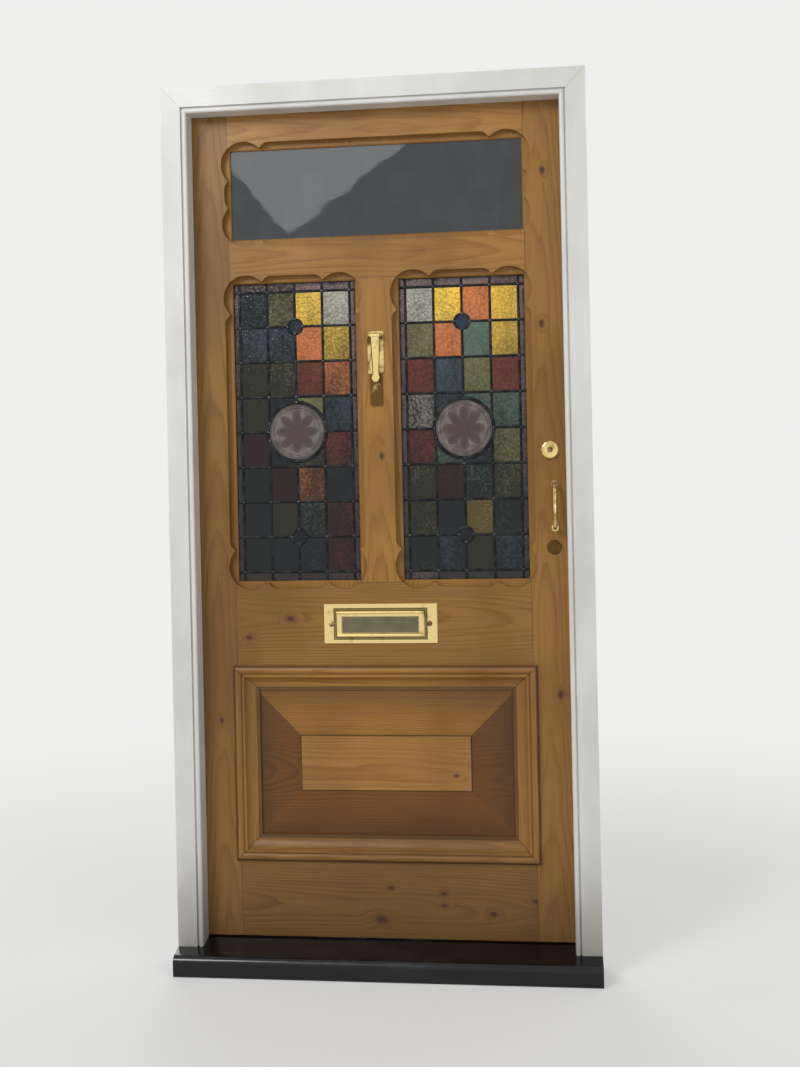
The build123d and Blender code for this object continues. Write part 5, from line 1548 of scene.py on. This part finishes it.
@dataclass
class Studio:
    """Pale floor, soft lamps and the camera at the photograph's viewing angle."""

    station: Triple = (0.417, -3.108, 1.235)
    gaze: Triple = (-0.117, 0.992, -0.004)
    roll: float = math.radians(-1.2)
    lens: float = 44.0
    shift_y: float = -0.07
    floor_half: float = 14.0
    floor_mottle: float = 500.0
    backdrop: str = "#EFEFEE"
    sky: str = "#EEF1F4"
    sky_strength: float = 0.42
    fade: Pair = (0.8, 3.2)
    target: Triple = (0.0, 0.0, 1.0)
    lamps: tuple[Lamp, ...] = (
        Lamp("key_lamp", (-2.4, -3.6, 3.9), 1.8, 125.0),
        Lamp("fill_lamp", (3.2, -2.8, 2.2), 2.6, 34.0),
        Lamp("glint_lamp", (-0.886, -3.7, 3.02), 0.9, 4.0, 0.68),
        Lamp("back_lamp", (-1.2, 4.0, 3.4), 3.0, 95.0),
        Lamp("back_fill_lamp", (3.0, 3.4, 1.8), 2.4, 38.0),
    )

    def seen(self, tree: Tree) -> Socket:
        """One for a ray that shows the background: straight, mirrored or through glass.

        Args:
            tree: The tree that asks.

        Returns:
            One or zero.
        """
        rays = put(tree, "ShaderNodeLightPath").node.outputs
        shown = rays["Is Camera Ray"]
        for ray in (rays["Is Glossy Ray"], rays["Is Transmission Ray"]):
            shown = put(tree, "ShaderNodeMath", (shown, ray), operation="MAXIMUM")
        return shown

    def build_floor(self) -> None:
        """Lay a pale floor under the sill, which fades into the backdrop."""
        half = self.floor_half
        corners = [(-half, -half, 0), (half, -half, 0), (half, half, 0), (-half, half, 0)]
        mesh = bpy.data.meshes.new("studio_floor")
        mesh.from_pydata(corners, [], [(0, 1, 2, 3)])
        look = Surface("studio_floor")
        mottle = look.cloud(self.floor_mottle, 3.0)
        colour = look.put("Mix", {0: mottle, 6: "#E4E3E0", 7: "#DEDDDA"}, **COLOURS)
        matt = look.put("BsdfDiffuse", {"Color": colour})
        glow = look.put("Emission", {"Color": self.backdrop, "Strength": 1.0})
        far = look.put("VectorMath", (look.position,), "Value", operation="LENGTH")
        faded = look.put("MapRange", (far, *self.fade, 0.4, 1.0), **SMOOTH)
        share = look.put("Math", (self.seen(look.tree), faded), operation="MULTIPLY")
        look.put("OutputMaterial", {"Surface": look.put("MixShader", (share, matt, glow))})
        mesh.materials.append(look.made)
        add_object("studio_floor", mesh)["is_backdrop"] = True

    def build_world(self) -> None:
        """Light the room softly, and show it pale."""
        world = bpy.data.worlds.new("studio")
        world.use_nodes = True
        tree = world.node_tree
        tree.nodes.clear()
        soft, shown = (put(tree, "ShaderNodeBackground", {"Color": colour, "Strength": strength})
                       for colour, strength in ((self.sky, self.sky_strength), (self.backdrop, 1.0)))
        mixed = put(tree, "ShaderNodeMixShader", (self.seen(tree), soft, shown))
        put(tree, "ShaderNodeOutputWorld", {"Surface": mixed})
        bpy.context.scene.world = world

    def build_camera(self) -> None:
        """Set the camera where the photograph was taken from."""
        data = bpy.data.cameras.new("camera")
        data.lens = self.lens
        data.shift_y = self.shift_y
        camera = add_object("camera", data)
        camera.location = self.station
        aim = Vector(self.gaze).normalized().to_track_quat("-Z", "Y")
        camera.rotation_euler = (aim @ Quaternion((0.0, 0.0, 1.0), self.roll)).to_euler()
        bpy.context.scene.camera = camera

    def build(self) -> None:
        """Build the whole studio."""
        self.build_floor()
        self.build_world()
        for lamp in self.lamps:
            lamp.build(Vector(self.target))
        self.build_camera()
        bpy.context.scene.view_settings.view_transform = "Standard"


def write_sizes() -> None:
    """Turn the CAD box and the visual model's box into JSON text, which is not kept."""
    for name, box in (("cad", CAD_BOX), ("visual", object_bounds())):
        json.dumps({name: [list(corner) for corner in box]}) + "\n"


def main() -> None:
    """Dress and build the door, one sub-assembly after another, and report each piece."""
    logging.basicConfig(level=logging.INFO, format="%(name)s: %(message)s")
    leaf, lights, ironmongery = PineLeaf(), LeadedLights(), Ironmongery()
    for assembly in (PaintedFrame(), leaf, lights, ironmongery):
        for line in assembly.dress():
            LOG.info("%s: %s", type(assembly).__name__, line)
    for assembly in (leaf, lights, Screws(), ironmongery):
        for piece in assembly.build():
            faces = len(piece.data.polygons)
            LOG.info("%s: built %s, %d faces", type(assembly).__name__, piece.name, faces)
    Studio().build()


if __name__ == "__main__":
    main()
    write_sizes()
